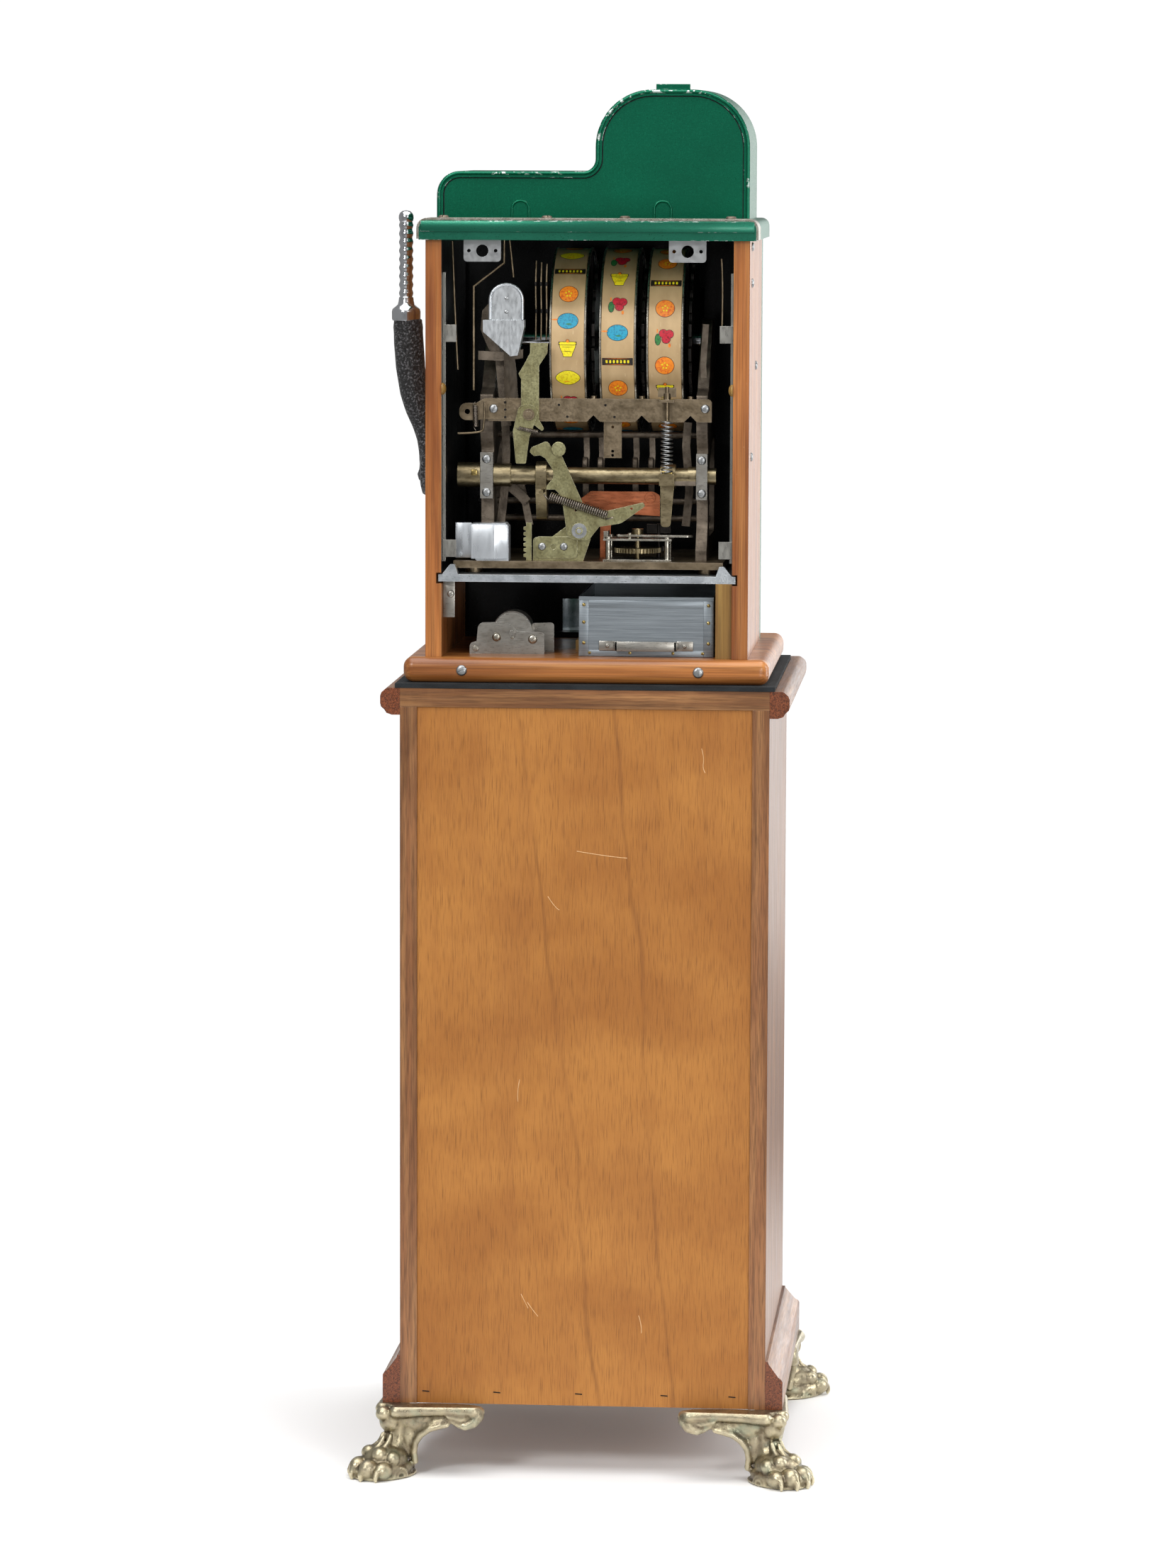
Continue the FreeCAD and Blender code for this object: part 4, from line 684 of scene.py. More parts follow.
def foot_wing():
    """One scrolled leaf of a claw foot, from the corner towards -X, with its face towards +Y."""
    wing = bmesh.new()
    # The rolled upper edge, the scroll at its tip and the small leaf inside it.
    bead_run(wing, (-6, 12, 73.5, 7.8), (-30, 11, 75, 6.4), (-62, 9, 75.5, 6.4), (-92, 6, 73.5, 8.6),
             (-98, 4, 73, 7.4))
    bead_run(wing, (-97, 6, 69, 7.5), (-92, 9, 62, 6.5), (-83, 11, 58, 4.6), (-76, 10, 60, 4),
             (-66, 9, 66, 4))
    bead_run(wing, (-90, 9, 68, 4), (-78, 12, 66, 3), (-64, 12, 69.5, 2.6))
    # Three ribs that curve down to the ankle.
    bead_run(wing, (-63, 10, 59, 3), (-55, 11, 58, 3.8), (-43, 10, 54.5, 4), (-33, 8, 47, 4),
             (-27, 6, 38, 4), (-25, 4, 27, 4), (-26, 2, 16, 4.2))
    bead_run(wing, (-60, 9, 64, 3.2), (-48, 8, 61.5, 3.6), (-36, 6, 55, 3.6), (-28, 4, 46, 3.6),
             (-23, 2, 34, 4))
    bead_run(wing, (-56, 7, 68, 3.4), (-40, 5, 65, 4.4), (-27, 2, 58, 5.5), (-20, -1, 48, 6))
    # The pad under the stand, and the web behind the scroll and the ribs.
    ball(wing, (-50, 1, 77), (50, 11, 7))
    ball(wing, (-84, 2, 69), (15, 8, 10))
    ball(wing, (-24, 0, 64), (22, 10, 16))
    ball(wing, (-19, 0, 44), (9, 8, 24))
    return wing


def claw_foot_shape():
    """One cast foot at the corner where X and Y are positive: two leaves, a leg and a lion's paw."""
    corner = Matrix.Translation((corners("stand_side_left")[1].x + 8, 224, 0))
    foot = moved(foot_wing(), corner)
    swap = Matrix(((0, 1, 0, 0), (1, 0, 0, 0), (0, 0, 1, 0), (0, 0, 0, 1)))
    other = moved(foot_wing(), corner @ swap)
    bmesh.ops.reverse_faces(other, faces=other.faces)
    # The leg, the knob at the corner, the knee, and the sole and back of the paw; X points outwards.
    lower = bmesh.new()
    bead_run(lower, (-9, 0, 70, 17), (-10, 0, 58, 16), (-9, 0, 46, 15), (-6, 0, 36, 15), (-2, 0, 28, 16.5),
             (3, 0, 22, 18))
    ball(lower, (13, 0, 71), (8.5, 8.5, 8.5))
    ball(lower, (3, 0, 62), (12, 13, 14))
    ball(lower, (13, 0, 10), (38, 28, 14))
    ball(lower, (10, 0, 20), (27, 25, 17))
    # Each half of the paw: a tendon, two knuckles, two toes with their claws, and a scroll on its flank.
    for side in (-1, 1):
        bead_run(lower, (8, side * 7, 46, 2.4), (12, side * 7, 38, 3), (18, side * 8, 33, 4))
        ball(lower, (25, side * 9.5, 27), (9.5, 8.8, 8.6))
        ball(lower, (16, side * 21, 23), (8.5, 7.2, 8))
        ball(lower, (41, side * 9, 13), (12, 9.6, 11))
        ball(lower, (30, side * 22, 11.5), (12, 8.2, 9.6))
        bead_run(lower, (50, side * 8, 12, 3.6), (52.5, side * 8, 7, 3.2), (51.5, side * 8, 2, 2.6))
        bead_run(lower, (41, side * 23, 11, 3.2), (43, side * 23.5, 6, 2.8), (42, side * 23, 2, 2.4))
        for reach in (9.5, 5.2):
            arc = [(9 + reach * math.cos(a), side * (27 - reach * 0.1), 3 + reach * math.sin(a), 1.9)
                   for a in (0, 0.5, 1.1, 1.57, 2.1, 2.7, 3.14)]
            bead_run(lower, *arc)
    # The middle tendon, the heel and the flat underside.
    bead_run(lower, (12, 0, 44, 2.4), (17, 0, 37, 3), (23, 0, 32, 3.4))
    bead_run(lower, (-20, 0, 22, 7), (-24, 0, 12, 6), (-27, 0, 5, 5))
    ball(lower, (10, 0, 2), (41, 28, 5))
    diagonal = Matrix.Rotation(math.radians(45), 4, "Z")
    return joined(foot, other, moved(lower, corner @ diagonal))


def make_feet():
    """Fuses a foot's parts with a fine remesh, smooths them, and mirrors the casting to four corners."""
    rough = claw_foot_shape()
    bmesh.ops.scale(rough, vec=(MM, MM, MM), verts=rough.verts)
    lump = placed("foot_parts", as_mesh("foot_parts", rough))
    fuse = lump.modifiers.new("fuse", "REMESH")
    fuse.mode = "VOXEL"
    fuse.voxel_size = sizes().foot_grain
    soften = lump.modifiers.new("soften", "SMOOTH")
    soften.iterations = 5
    cast = worked_out(lump)
    for node, side, end in (("claw_foot_rear_left", 1, 1), ("claw_foot_rear_right", -1, 1),
                            ("claw_foot_front_left", 1, -1), ("claw_foot_front_right", -1, -1)):
        shape = bmesh.new()
        shape.from_mesh(cast)
        bmesh.ops.scale(shape, vec=(side / MM, end / MM, 1 / MM), verts=shape.verts)
        for vert in shape.verts:
            vert.co.z = min(max(vert.co.z, 0), 80)
        outward(shape)
        make_piece(node + "_casting", shape, "aged_cast_brass", "cabinet", [node], 180)


def make_handle():
    """The pull handle: an arm that swells outwards, a chromium ferrule and a finger grip."""
    low, high = corners("handle_grip")
    middle, level = high.x - 14.5, low.z
    inner, wall, pivot = corners("handle_arm")[0].x, 182, 1113
    hub = stud([(0, 0), (27, 0), (28, 2), (28, 15), (25, 20), (18, 22), (0, 22)], (wall, 0, pivot), ACROSS)
    # Each ring of the arm: its centre and its half widths.
    rings = [((194, 0, 1100), (9, 12)), ((194.5, 0, 1122), (11.5, 13)), ((196, 0, 1140), (11.5, 13.5)),
             ((199, 0, 1157), (12.5, 14)), ((209, 0, 1187), (14.8, 14.6)), ((214.7, 0, 1217), (16.2, 15)),
             ((217.6, 0, 1247), (16.9, 15.4)), ((219, 0, 1270), (16.7, 15.6)),
             ((219.4, 0, 1283), (16.2, 15.4)), ((219.5, 0, level + 0.5), (15, 14.4))]
    arm = loft(rings)
    upright = [e for e in arm.edges if abs(e.verts[0].co.z - e.verts[1].co.z) > 3]
    bmesh.ops.subdivide_edges(arm, edges=upright, cuts=3, smooth=1.0)
    bar = stud([(0, 0), (9, 0), (9, wall - inner), (0, wall - inner)], (inner, 0, pivot), ACROSS)
    crank = [(-13, -6), (-9, -13), (44, -33), (52, -30), (54, -22), (50, -15), (-4, 13), (-12, 9)]
    crank = moved(slab(crank, 7, 0.6), Matrix.Translation((inner, 0, pivot))
                  @ Matrix(((0, 0, 1, 0), (1, 0, 0, 0), (0, 1, 0, 0), (0, 0, 0, 1))))
    make_piece("pull_arm", joined(arm, hub, bar, crank), "black_wrinkle_lacquer", "pull_handle",
               ["handle_arm"], 60)
    neck, grooves, steps, top = 25, 9, 90, high.z - level
    outline = [(0, -1), (15.6, -1), (16.3, 1), (16.4, 9), (15.6, 12), (12.4, 14.5), (9.6, 17), (8.7, 21),
               (8.2, neck)]
    for i in range(steps + 1):
        share = i / steps
        groove = sizes().grip_scallop / MM * (0.5 + 0.5 * math.cos(share * math.tau * grooves))
        outline.append((8.2 - (groove if 0 < i < steps else 0.4), neck + (top - neck - 12) * share))
    outline += [(8.5, top - 9), (8.4, top - 6), (7.2, top - 3), (4.6, top - 0.8), (0, top)]
    make_piece("finger_grip", moved(turned(outline, 40), Matrix.Translation((middle, 0, level))),
               "bright_chromium", "pull_handle", ["handle_grip"], 50)


def screw_head(radius, height, turn):
    """A domed head with a slot."""
    rise = [(1, 0), (1, 0.15), (0.94, 0.5), (0.78, 0.8), (0.5, 0.95), (0, 1)]
    shape = turned([(0, 0)] + [(radius * r, height * h) for r, h in rise], 24)
    half = sizes().slot_width / MM / 2 * min(1, radius / 4)
    for side in (-half, half):
        bmesh.ops.bisect_plane(shape, geom=shape.verts[:] + shape.edges[:] + shape.faces[:],
                               plane_co=(side, 0, 0), plane_no=(1, 0, 0), dist=1e-5)
    strip = [f for f in shape.faces if abs(f.calc_center_median().x) < half and f.normal.z > 0.2]
    cut = bmesh.ops.extrude_face_region(shape, geom=strip)["geom"]
    bmesh.ops.delete(shape, geom=strip, context="FACES")
    for vert in [v for v in cut if isinstance(v, bmesh.types.BMVert)]:
        vert.co.z = max(0.1, vert.co.z - height * 0.45)
    return moved(shape, Matrix.Rotation(turn, 4, "Z"))


def make_screws():
    """Slotted round-head screws in the places of the CAD heads."""
    chance = random.Random(7)
    cover_top = corners("top_cover")[1].z
    heads = []
    for low, high in islands("round_head_screws"):
        size, centre = high - low, (low + high) / 2
        axis = min(range(3), key=lambda k: size[k])
        direction = Vector((0, 0, 0))
        direction[axis] = -1 if axis == 0 else 1
        foot = centre.copy()
        foot[axis] = high[axis] if axis == 0 else low[axis]
        radius = (sum(size) - size[axis]) / 4
        head = moved(screw_head(radius, size[axis], chance.uniform(0, math.pi)), aim(foot, direction))
        for face in head.faces:
            face.material_index = int(foot.z > cover_top - 1)
        heads.append(head)
    make_piece("round_heads", joined(*heads), ["plated_steel", "greased_cast_iron"], "cabinet",
               ["round_head_screws"], 40)


def make_springs():
    """The hook lever's long dark spring, the light spring under the wing nut and two small ones."""
    wire = sizes().spring_wire / MM
    long = coil((49.3, 171.5, 1099), (-27.9, 171.5, 1073.9), 5.4, 27, wire)
    piece = make_wire("hook_lever_spring", [long], wire, "spring_steel", "cabinet", False,
                      ["hook_spring"])
    piece.parent = None
    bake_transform(piece)
    low, high = corners("wing_nut_spring")
    middle = (low + high) / 2
    rise = coil((middle.x, middle.y, high.z), (middle.x, middle.y, low.z), 7, 13, 1.4, False)
    piece = make_wire("governor_spring", [rise], 1.4, "plated_steel", "cabinet", False,
                      ["wing_nut_spring"])
    piece.parent = None
    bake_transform(piece)
    small = [coil((128, 151, 1200), (127, 151, 1168), 3.2, 17, 1.0),
             coil((82, 156, 1172), (54, 156, 1166), 2.6, 16, 0.9)]
    make_wire("return_springs", small, 1.0, "spring_steel", "cabinet", False)


REEL_STOPS = ("lemon", "bar", "orange", "plum", "bell", "lemon", "cherries", "orange", "plum", "bell",
              "orange", "lemon", "plum", "bar", "bell", "orange", "cherries", "plum", "lemon", "orange")
# For each reel, the angle of its first stop in degrees and its stops in order.
REELS = {
    "reel_one": (67.5, REEL_STOPS),
    "reel_two": (60.3, ("cherries", "bell", "cherries", "plum", "bar", "orange") + REEL_STOPS[6:]),
    "reel_three": (57.9, ("orange", "bar", "orange", "cherries", "orange", "bell") + REEL_STOPS[6:]),
}
INKS = ["ink_black", "ink_yellow", "ink_orange", "ink_blue", "ink_red", "ink_green"]


def patch(ink, outline, centre=(0, 0), rings=4, steps=28, lift=0.1):
    """A flat printed shape; outline gives its reach in millimetres at each angle."""
    shape = spun([(i / rings, 0, 0) for i in range(rings + 1)], steps, 0.001)
    for vert in shape.verts:
        reach = outline(math.atan2(vert.co.y, vert.co.x))
        vert.co = (centre[0] + vert.co.x * reach, centre[1] + vert.co.y * reach, lift)
    for face in shape.faces:
        face.material_index = INKS.index(ink)
    return shape


def oval(width, height, tip=0.0):
    """An ellipse's reach at an angle, with pointed ends along its width if tip is more than nought."""
    def reach(angle):
        plain = width * height / math.hypot(height * math.cos(angle), width * math.sin(angle))
        return plain * (1 + tip * abs(math.cos(angle)) ** 14)
    return reach


def box_reach(width, height, flare=0.0):
    """A rectangle's reach at an angle; flare widens its upper edge."""
    def reach(angle):
        x, y = math.cos(angle), math.sin(angle)
        side = abs(x) / (width * (1 + flare * y)) if x else 0
        return 1 / max(side, abs(y) / height, 1e-3)
    return reach


def inked(ink, outline_of, size, centre=(0, 0), steps=28, lift=0.1, line=0.55):
    """A colour with a black line round it."""
    return [patch("ink_black", outline_of(*[s + line for s in size[:2]], *size[2:]), centre, steps=steps,
                  lift=lift),
            patch(ink, outline_of(*size), centre, steps=steps, lift=lift + 0.06)]


def symbol(kind):
    """The patches of one printed symbol. Bells and bars stand upside down from behind."""
    if kind == "orange":
        dots = [patch("ink_yellow", oval(1.1, 1.1), (3 * math.cos(a), 3 * math.sin(a)), 1, 6, 0.22)
                for a in (0.4, 1.6, 2.9, 4.1, 5.3)]
        return inked("ink_orange", oval, (10.4, 9.8)) + dots
    if kind == "lemon":
        return (inked("ink_yellow", oval, (11.6, 8.4, 0.16), steps=48)
                + [patch("ink_orange", oval(5, 0.5), (1.5, -4.6), 1, 10, 0.22)])
    if kind == "plum":
        stem = [patch("ink_orange", oval(4.4, 0.9), (14.2, 1.6), 2, 12, 0.1)]
        crease = [patch("ink_green", oval(4, 0.8), (-1, -3.5), 1, 10, 0.22)]
        return stem + inked("ink_blue", oval, (11.4, 8.6)) + crease
    if kind == "cherries":
        leaf = inked("ink_green", oval, (2.9, 6.2), (7.6, -3.0), 20)
        stem = [patch("ink_orange", oval(0.7, 5.5), (8.2, 6.5), 2, 10, 0.1),
                patch("ink_orange", oval(1.4, 2.6), (-5.4, -9.4), 2, 10, 0.1)]
        fruit = []
        for x, y in ((1.5, 3.6), (-5.2, 3.0), (-1.6, -2.6)):
            fruit += inked("ink_red", oval, (4.6, 4.5), (x, y), 20, 0.14)
        return stem + leaf + fruit
    if kind == "bell":
        return (inked("ink_yellow", box_reach, (7.4, 7.8, 0.42), (0, 0.4), 44)
                + inked("ink_yellow", box_reach, (9.6, 1.5), (0, 7.2), 36, 0.18)
                + inked("ink_orange", oval, (1.7, 1.7), (0, 9.6), 14, 0.2)
                + [patch("ink_black", box_reach(7.4, 0.3), (0, 3.0), 2, 20, 0.24),
                   patch("ink_black", box_reach(6.2, 0.3), (0, -1.6), 2, 20, 0.24)])
    plate = [patch("ink_black", box_reach(17.2, 4.2), (0, 0), 6, 52, 0.1)]
    for i in range(-3, 4):
        plate.append(patch("ink_yellow", box_reach(1.1, 1.7), (i * 4.0, 0), 2, 16, 0.18))
    return plate + [patch("ink_orange", box_reach(16.2, 0.25), (0, s * 3.3), 6, 52, 0.18) for s in (-1, 1)]


def make_reels():
    """The gold strip on each reel and its printed symbols, wrapped round the drum."""
    lift = sizes().strip_lift / MM
    for reel, (first, stops) in REELS.items():
        low, high = corners(reel + "_drum")
        centre, radius = (low + high) / 2, (high.z - low.z) / 2
        half = (high.x - low.x) / 2 - 2.6
        profile = [(radius - 0.4, -half), (radius + lift, -half), (radius + lift, half),
                   (radius - 0.4, half), (radius - 0.4, -half)]
        make_piece(reel + "_strip", stud(profile, centre, ACROSS, 120), "gold_lacquered_strip", reel)
        rims = []
        for side in (-1, 1):
            x = side * (half + 1.4)
            ring = [(radius - 3, x - 1.3), (radius + 0.6, x - 1.3), (radius + 1.3, x - 0.6),
                    (radius + 1.3, x + 0.6), (radius + 0.6, x + 1.2), (radius - 3, x + 1.2),
                    (radius - 3, x - 1.3)]
            rims.append(stud(ring, centre, ACROSS, 120))
        make_piece(reel + "_rims", joined(*rims), "nickelled_steel", reel)
        prints = bmesh.new()
        for number, kind in enumerate(stops):
            angle = math.radians(first - number * 360 / len(stops))
            mark = joined(*symbol(kind))
            for vert in mark.verts:
                turn = angle + vert.co.y / radius
                reach = radius + lift + vert.co.z
                vert.co = (centre.x + vert.co.x, centre.y + reach * math.cos(turn),
                           centre.z + reach * math.sin(turn))
            joined(prints, mark)
        for face in prints.faces:
            face.normal_update()
            away = face.calc_center_median() - centre
            if face.normal.dot(Vector((0, away.y, away.z))) < 0:
                face.normal_flip()
        make_piece(reel + "_symbols", prints, INKS, reel, sharp=80)


def flat_bar(points, width, thick, normal=REAR):
    """A flat strip of metal along points, its face towards normal."""
    shape = bmesh.new()
    up = Vector(normal).normalized()
    places = [Vector(p) for p in points]
    loops = []
    for i, place in enumerate(places):
        ahead = places[min(i + 1, len(places) - 1)] - places[max(i - 1, 0)]
        side = ahead.cross(up).normalized() * width / 2
        rise = up * thick / 2
        verts = [shape.verts.new(place + a * side + b * rise)
                 for a, b in ((1, 1), (1, -1), (-1, -1), (-1, 1))]
        loops.append([shape.edges.new((verts[k], verts[(k + 1) % 4])) for k in range(4)])
    for one, two in zip(loops, loops[1:]):
        bmesh.ops.bridge_loops(shape, edges=one + two)
    bmesh.ops.holes_fill(shape, edges=shape.edges, sides=0)
    return outward(shape)


def make_linkwork():
    """Wires and links between the castings that the frame leaves out."""
    make_wire("long_links", [[(96, 150, 1384), (96, 150, 1354), (129.7, 150, 1328), (129.7, 150, 1213)]], 3,
              "oiled_mild_steel", "cabinet", False)
    make_wire("thin_links", [[(90.6, 148, 1384), (88, 148, 1361), (85.7, 148, 1338)],
                             [(147, 154, 1165), (121, 154, 1165.5), (117.5, 154, 1172), (117, 154, 1200)],
                             [(152.5, 160, 1378), (150, 160, 1300), (146.5, 160, 1236)],
                             [(-146.5, 170, 1360), (-149, 170, 1330), (-147, 170, 1268)]], 2.4,
              "oiled_mild_steel", "cabinet")
    fingers, beads = [], []
    for x in (63, 57, 51):
        run = [(x, 118, 1354 + (x - 57) * 0.3), (x + 0.6, 121, 1330), (x - 0.4, 123, 1300), (x, 124, 1268)]
        fingers.append(run)
        for place in run[1:3]:
            bead = turned([(0, -2.6), (1.6, -2), (2, 0), (1.6, 2), (0, 2.6)], 12)
            beads.append(moved(bead, Matrix.Translation(place)))
    make_wire("finger_wires", fingers, 2.2, "oiled_mild_steel", "cabinet")
    make_piece("finger_beads", joined(*beads), "blackened_steel", "cabinet")


def make_levers():
    """The dark levers, cross rods and stop discs deep in the works, clear of the shaft's arms."""
    levers = [flat_bar([(108, 118, 1309), (118, 118, 1298), (119.5, 118, 1280), (112, 118, 1262),
                        (103, 118, 1246), (100, 118, 1215), (96, 118, 1172)], 11, 5),
              flat_bar([(126, 134, 1251), (100, 134, 1250), (76, 134, 1253)], 4, 10, (0, 0, 1)),
              flat_bar([(98, 106, 1172), (97, 106, 1140), (99, 106, 1100), (103, 106, 1062)], 9, 5),
              flat_bar([(82, 100, 1110), (76, 100, 1085), (71, 100, 1060)], 8, 4),
              flat_bar([(-118, 150, 1111), (-104, 150, 1111), (-92, 150, 1111)], 5, 3),
              flat_bar([(93, 104, 1104), (81, 104, 1094), (74, 104, 1086)], 11, 2),
              flat_bar([(-106, 96, 1176), (-104, 96, 1150), (-108, 96, 1100), (-104, 96, 1060)], 9, 5),
              flat_bar([(-126, 104, 1286), (-123, 104, 1240), (-127, 104, 1190)], 7, 4)]
    disc = [(0, 0), (7, 0), (8, 1), (8, 5), (7, 6), (0, 6)]
    for x in (10, -7, -46, -64):
        levers.append(flat_bar([(x, 70, 1162), (x - 1, 74, 1140), (x, 78, 1112), (x, 74, 1086)], 6.5, 3.2))
        levers.append(stud(disc, (x - 3, 84, 1128), ACROSS, 24))
    rod = [(0, 0), (3.6, 0), (3.6, 239), (0, 239)]
    for y, level in ((74, 1086), (60, 1066), (70, 1160)):
        levers.append(stud(rod, (-129, y, level), ACROSS, 20))
    make_piece("dark_levers", joined(*levers), "greased_cast_iron", "cabinet")


def make_fastenings():
    """The main shaft's set screw, the spring's clevis, and the hook lever's clip and roller."""
    make_piece("shaft_set_screw", block((126.4, 133.2), (139, 143.4), (1117.6, 1124.4), 0.8), "clock_brass",
               "main_shaft")
    make_piece("spring_clevis", block((-92, -80), (139, 146), (1113, 1125), 1.5), "clock_brass",
               "clock_arm")
    hook_pin = (10.1, 167.2, 1058.5)
    clip = stud([(3.2, 0), (8.4, 0), (8.4, 1.1), (3.2, 1.1), (3.2, 0)], hook_pin)
    pin = stud([(0, 0), (3.4, 0), (3.4, 3), (2.6, 3.8), (0, 4)], hook_pin)
    make_piece("hook_pin_clip", joined(clip, pin), "plated_steel", "hook_lever")
    roller = stud([(0, 0), (7.6, 0), (8.2, 0.6), (8.2, 2.6), (7.6, 3.2), (0, 3.2)], (33.1, 169.6, 1149.1))
    make_piece("hook_roller", roller, "yellow_passivated_steel", "hook_lever")


def make_cash_box_trim():
    """The folded seams, the rivets and the pull on the rear of the cash box."""
    low, high = corners("cash_box")
    rear = 170.2
    upright, across, hem = (low.z + 0.5, high.z - 4), (low.x + 11, high.x - 11), 0.3
    seams = [block((low.x + 0.4, across[0]), (rear - 0.6, rear + 0.7), upright, hem),
             block((across[1], high.x - 0.4), (rear - 0.6, rear + 0.7), upright, hem),
             block(across, (rear - 0.6, rear + 0.5), (high.z - 12, high.z - 4), hem),
             block(across, (rear - 0.6, rear + 0.5), (low.z + 0.5, low.z + 7), hem)]
    make_piece("cash_box_seams", joined(*seams), "galvanised_sheet", "cash_box")
    rivets = []
    for x in (low.x + 5.6, high.x - 5.6):
        for level in (low.z + 15, low.z + 38, high.z - 9):
            rivets.append(stud([(0, 0), (2, 0), (1.7, 0.8), (0.9, 1.2), (0, 1.3)], (x, rear + 0.7, level),
                               steps=14))
    for share in (0.08, 0.3, 0.62, 0.92):
        rivets.append(stud([(0, 0), (1.8, 0), (1.5, 0.7), (0, 1.1)],
                           (low.x + (high.x - low.x) * share, rear + 0.5, low.z + 4), steps=14))
    make_piece("cash_box_rivets", joined(*rivets), "clock_brass", "cash_box")
    # The pull is a bent strap: a bar that stands out, two legs and two flat tabs with a screw each.
    middle, strap = (low.x + high.x) / 2, (926, 936.6)
    grip = [block((middle - 34.3, middle + 34.3), (rear + 6.6, rear + 9.2), strap, 0.4)]
    for side in (-1, 1):
        edge = middle + side * 33
        tab = sorted((edge - side * 0.5, edge + side * 19.4))
        grip.append(block((edge - 1.3, edge + 1.3), (rear - 0.2, rear + 9.2), strap, 0.3))
        grip.append(block(tab, (rear - 0.2, rear + 2.2), strap, 0.4))
        grip.append(moved(screw_head(2.4, 1.5, side), aim((edge + side * 10, rear + 2.1, 931.3), REAR)))
    make_piece("cash_box_pull", joined(*grip), "rolled_steel_plate", "cash_box")


def make_roller_bracket():
    """The steel roller between the floor bracket's plates, and the pins that hold it."""
    pins = [moved(screw_head(5, 3, 0.7), aim((103.5, 152, 938), REAR)),
            moved(screw_head(5.2, 2.6, 2.4), aim((63, 152, 936), REAR)),
            stud([(0, 0), (3.4, 0), (3, 1.6), (0, 2)], (127, 152, 925), steps=20),
            stud([(0, 0), (2.2, 0), (1.8, 1), (0, 1.3)], (86, 152, 938), steps=20)]
    make_piece("bracket_pins", joined(*pins), "nickelled_steel", "cabinet")
    drum = stud([(0, 0), (20, 0), (22, 1.5), (22, 30), (20, 31.5), (0, 31.5)], (86, 118.3, 945))
    make_piece("bracket_roller", drum, "rolled_steel_plate", "cabinet")


def make_chute_rim():
    """The bright rolled rim round the coin chute's mouth, and its two rivets."""
    outline = [(111, 155.5, 1291.5), (111, 155.5, 1314)]
    outline += [(93 + 18 * math.cos(a), 155.5, 1313.5 + 17 * math.sin(a)) for a in
                [math.pi * k / 12 for k in range(1, 12)]]
    outline += [(75, 155.5, 1314), (75, 155.5, 1291.5)]
    make_wire("chute_rim", [outline], 3.4, "pressed_aluminium", "cabinet", False)
    heads = [stud([(0, 0), (2.2, 0), (2, 0.8), (1, 1.3), (0, 1.4)], (93, 155, level), steps=16)
             for level in (1300, 1315)]
    make_piece("chute_rivets", joined(*heads), "plated_steel", "cabinet")


def rounded(line, steps=10):
    """The points of a line of (x, z, radius) corners, all right angles, with each corner rounded."""
    points = [Vector(line[0][:2])]
    for before, here, after in zip(line, line[1:], line[2:]):
        spot, radius = Vector(here[:2]), here[2]
        one, two = [(Vector(end[:2]) - spot).normalized() * radius for end in (before, after)]
        for k in range(steps + 1):
            turn = math.pi / 2 * k / steps
            points.append(spot + one + two - two * math.cos(turn) - one * math.sin(turn))
    return points + [Vector(line[-1][:2])]


def make_casting_marks():
    """The worn bead round the back of the top casting, a black line inside it that is painted shadow in the
    groove, and two hoops.
    """
    low, high = corners("top_casting")
    base, top, shoulder, step = low.z + 1, high.z, low.z + 53, 1.4
    face = corners("top_casting_back")[1].y
    # The second line is a thin black wire laid in the groove as painted shadow.
    for name, inset, thick, y, finish in (("crest_bead", 2.4, 4.2, face - 0.3, "green_enamel_worn_rim"),
                                          ("crest_groove_shadow", 7.6, 1.3, face - 2.6, "cellular_rubber_and_shadow")):
        line = [(high.x - inset, base, 0), (high.x - inset, shoulder - inset, 26 - inset),
                (step - inset, shoulder - inset, 14 + inset), (step - inset, top - inset, 64 - inset),
                (low.x + inset, top - inset, 64 - inset), (low.x + inset, base, 0)]
        make_wire(name, [[(x, y, z) for x, z in rounded(line)]], thick, finish, "cabinet",
                  False)
    hoops = []
    for x in (86, -74):
        line = [(x - 9.5, base, 0), (x - 9.5, base + 19, 9), (x + 9.5, base + 19, 9), (x + 9.5, base, 0)]
        hoops.append([(across, 60, level) for across, level in rounded(line)])
    make_wire("casting_hoops", hoops, 3, "green_enamel_hammered", "cabinet", False)


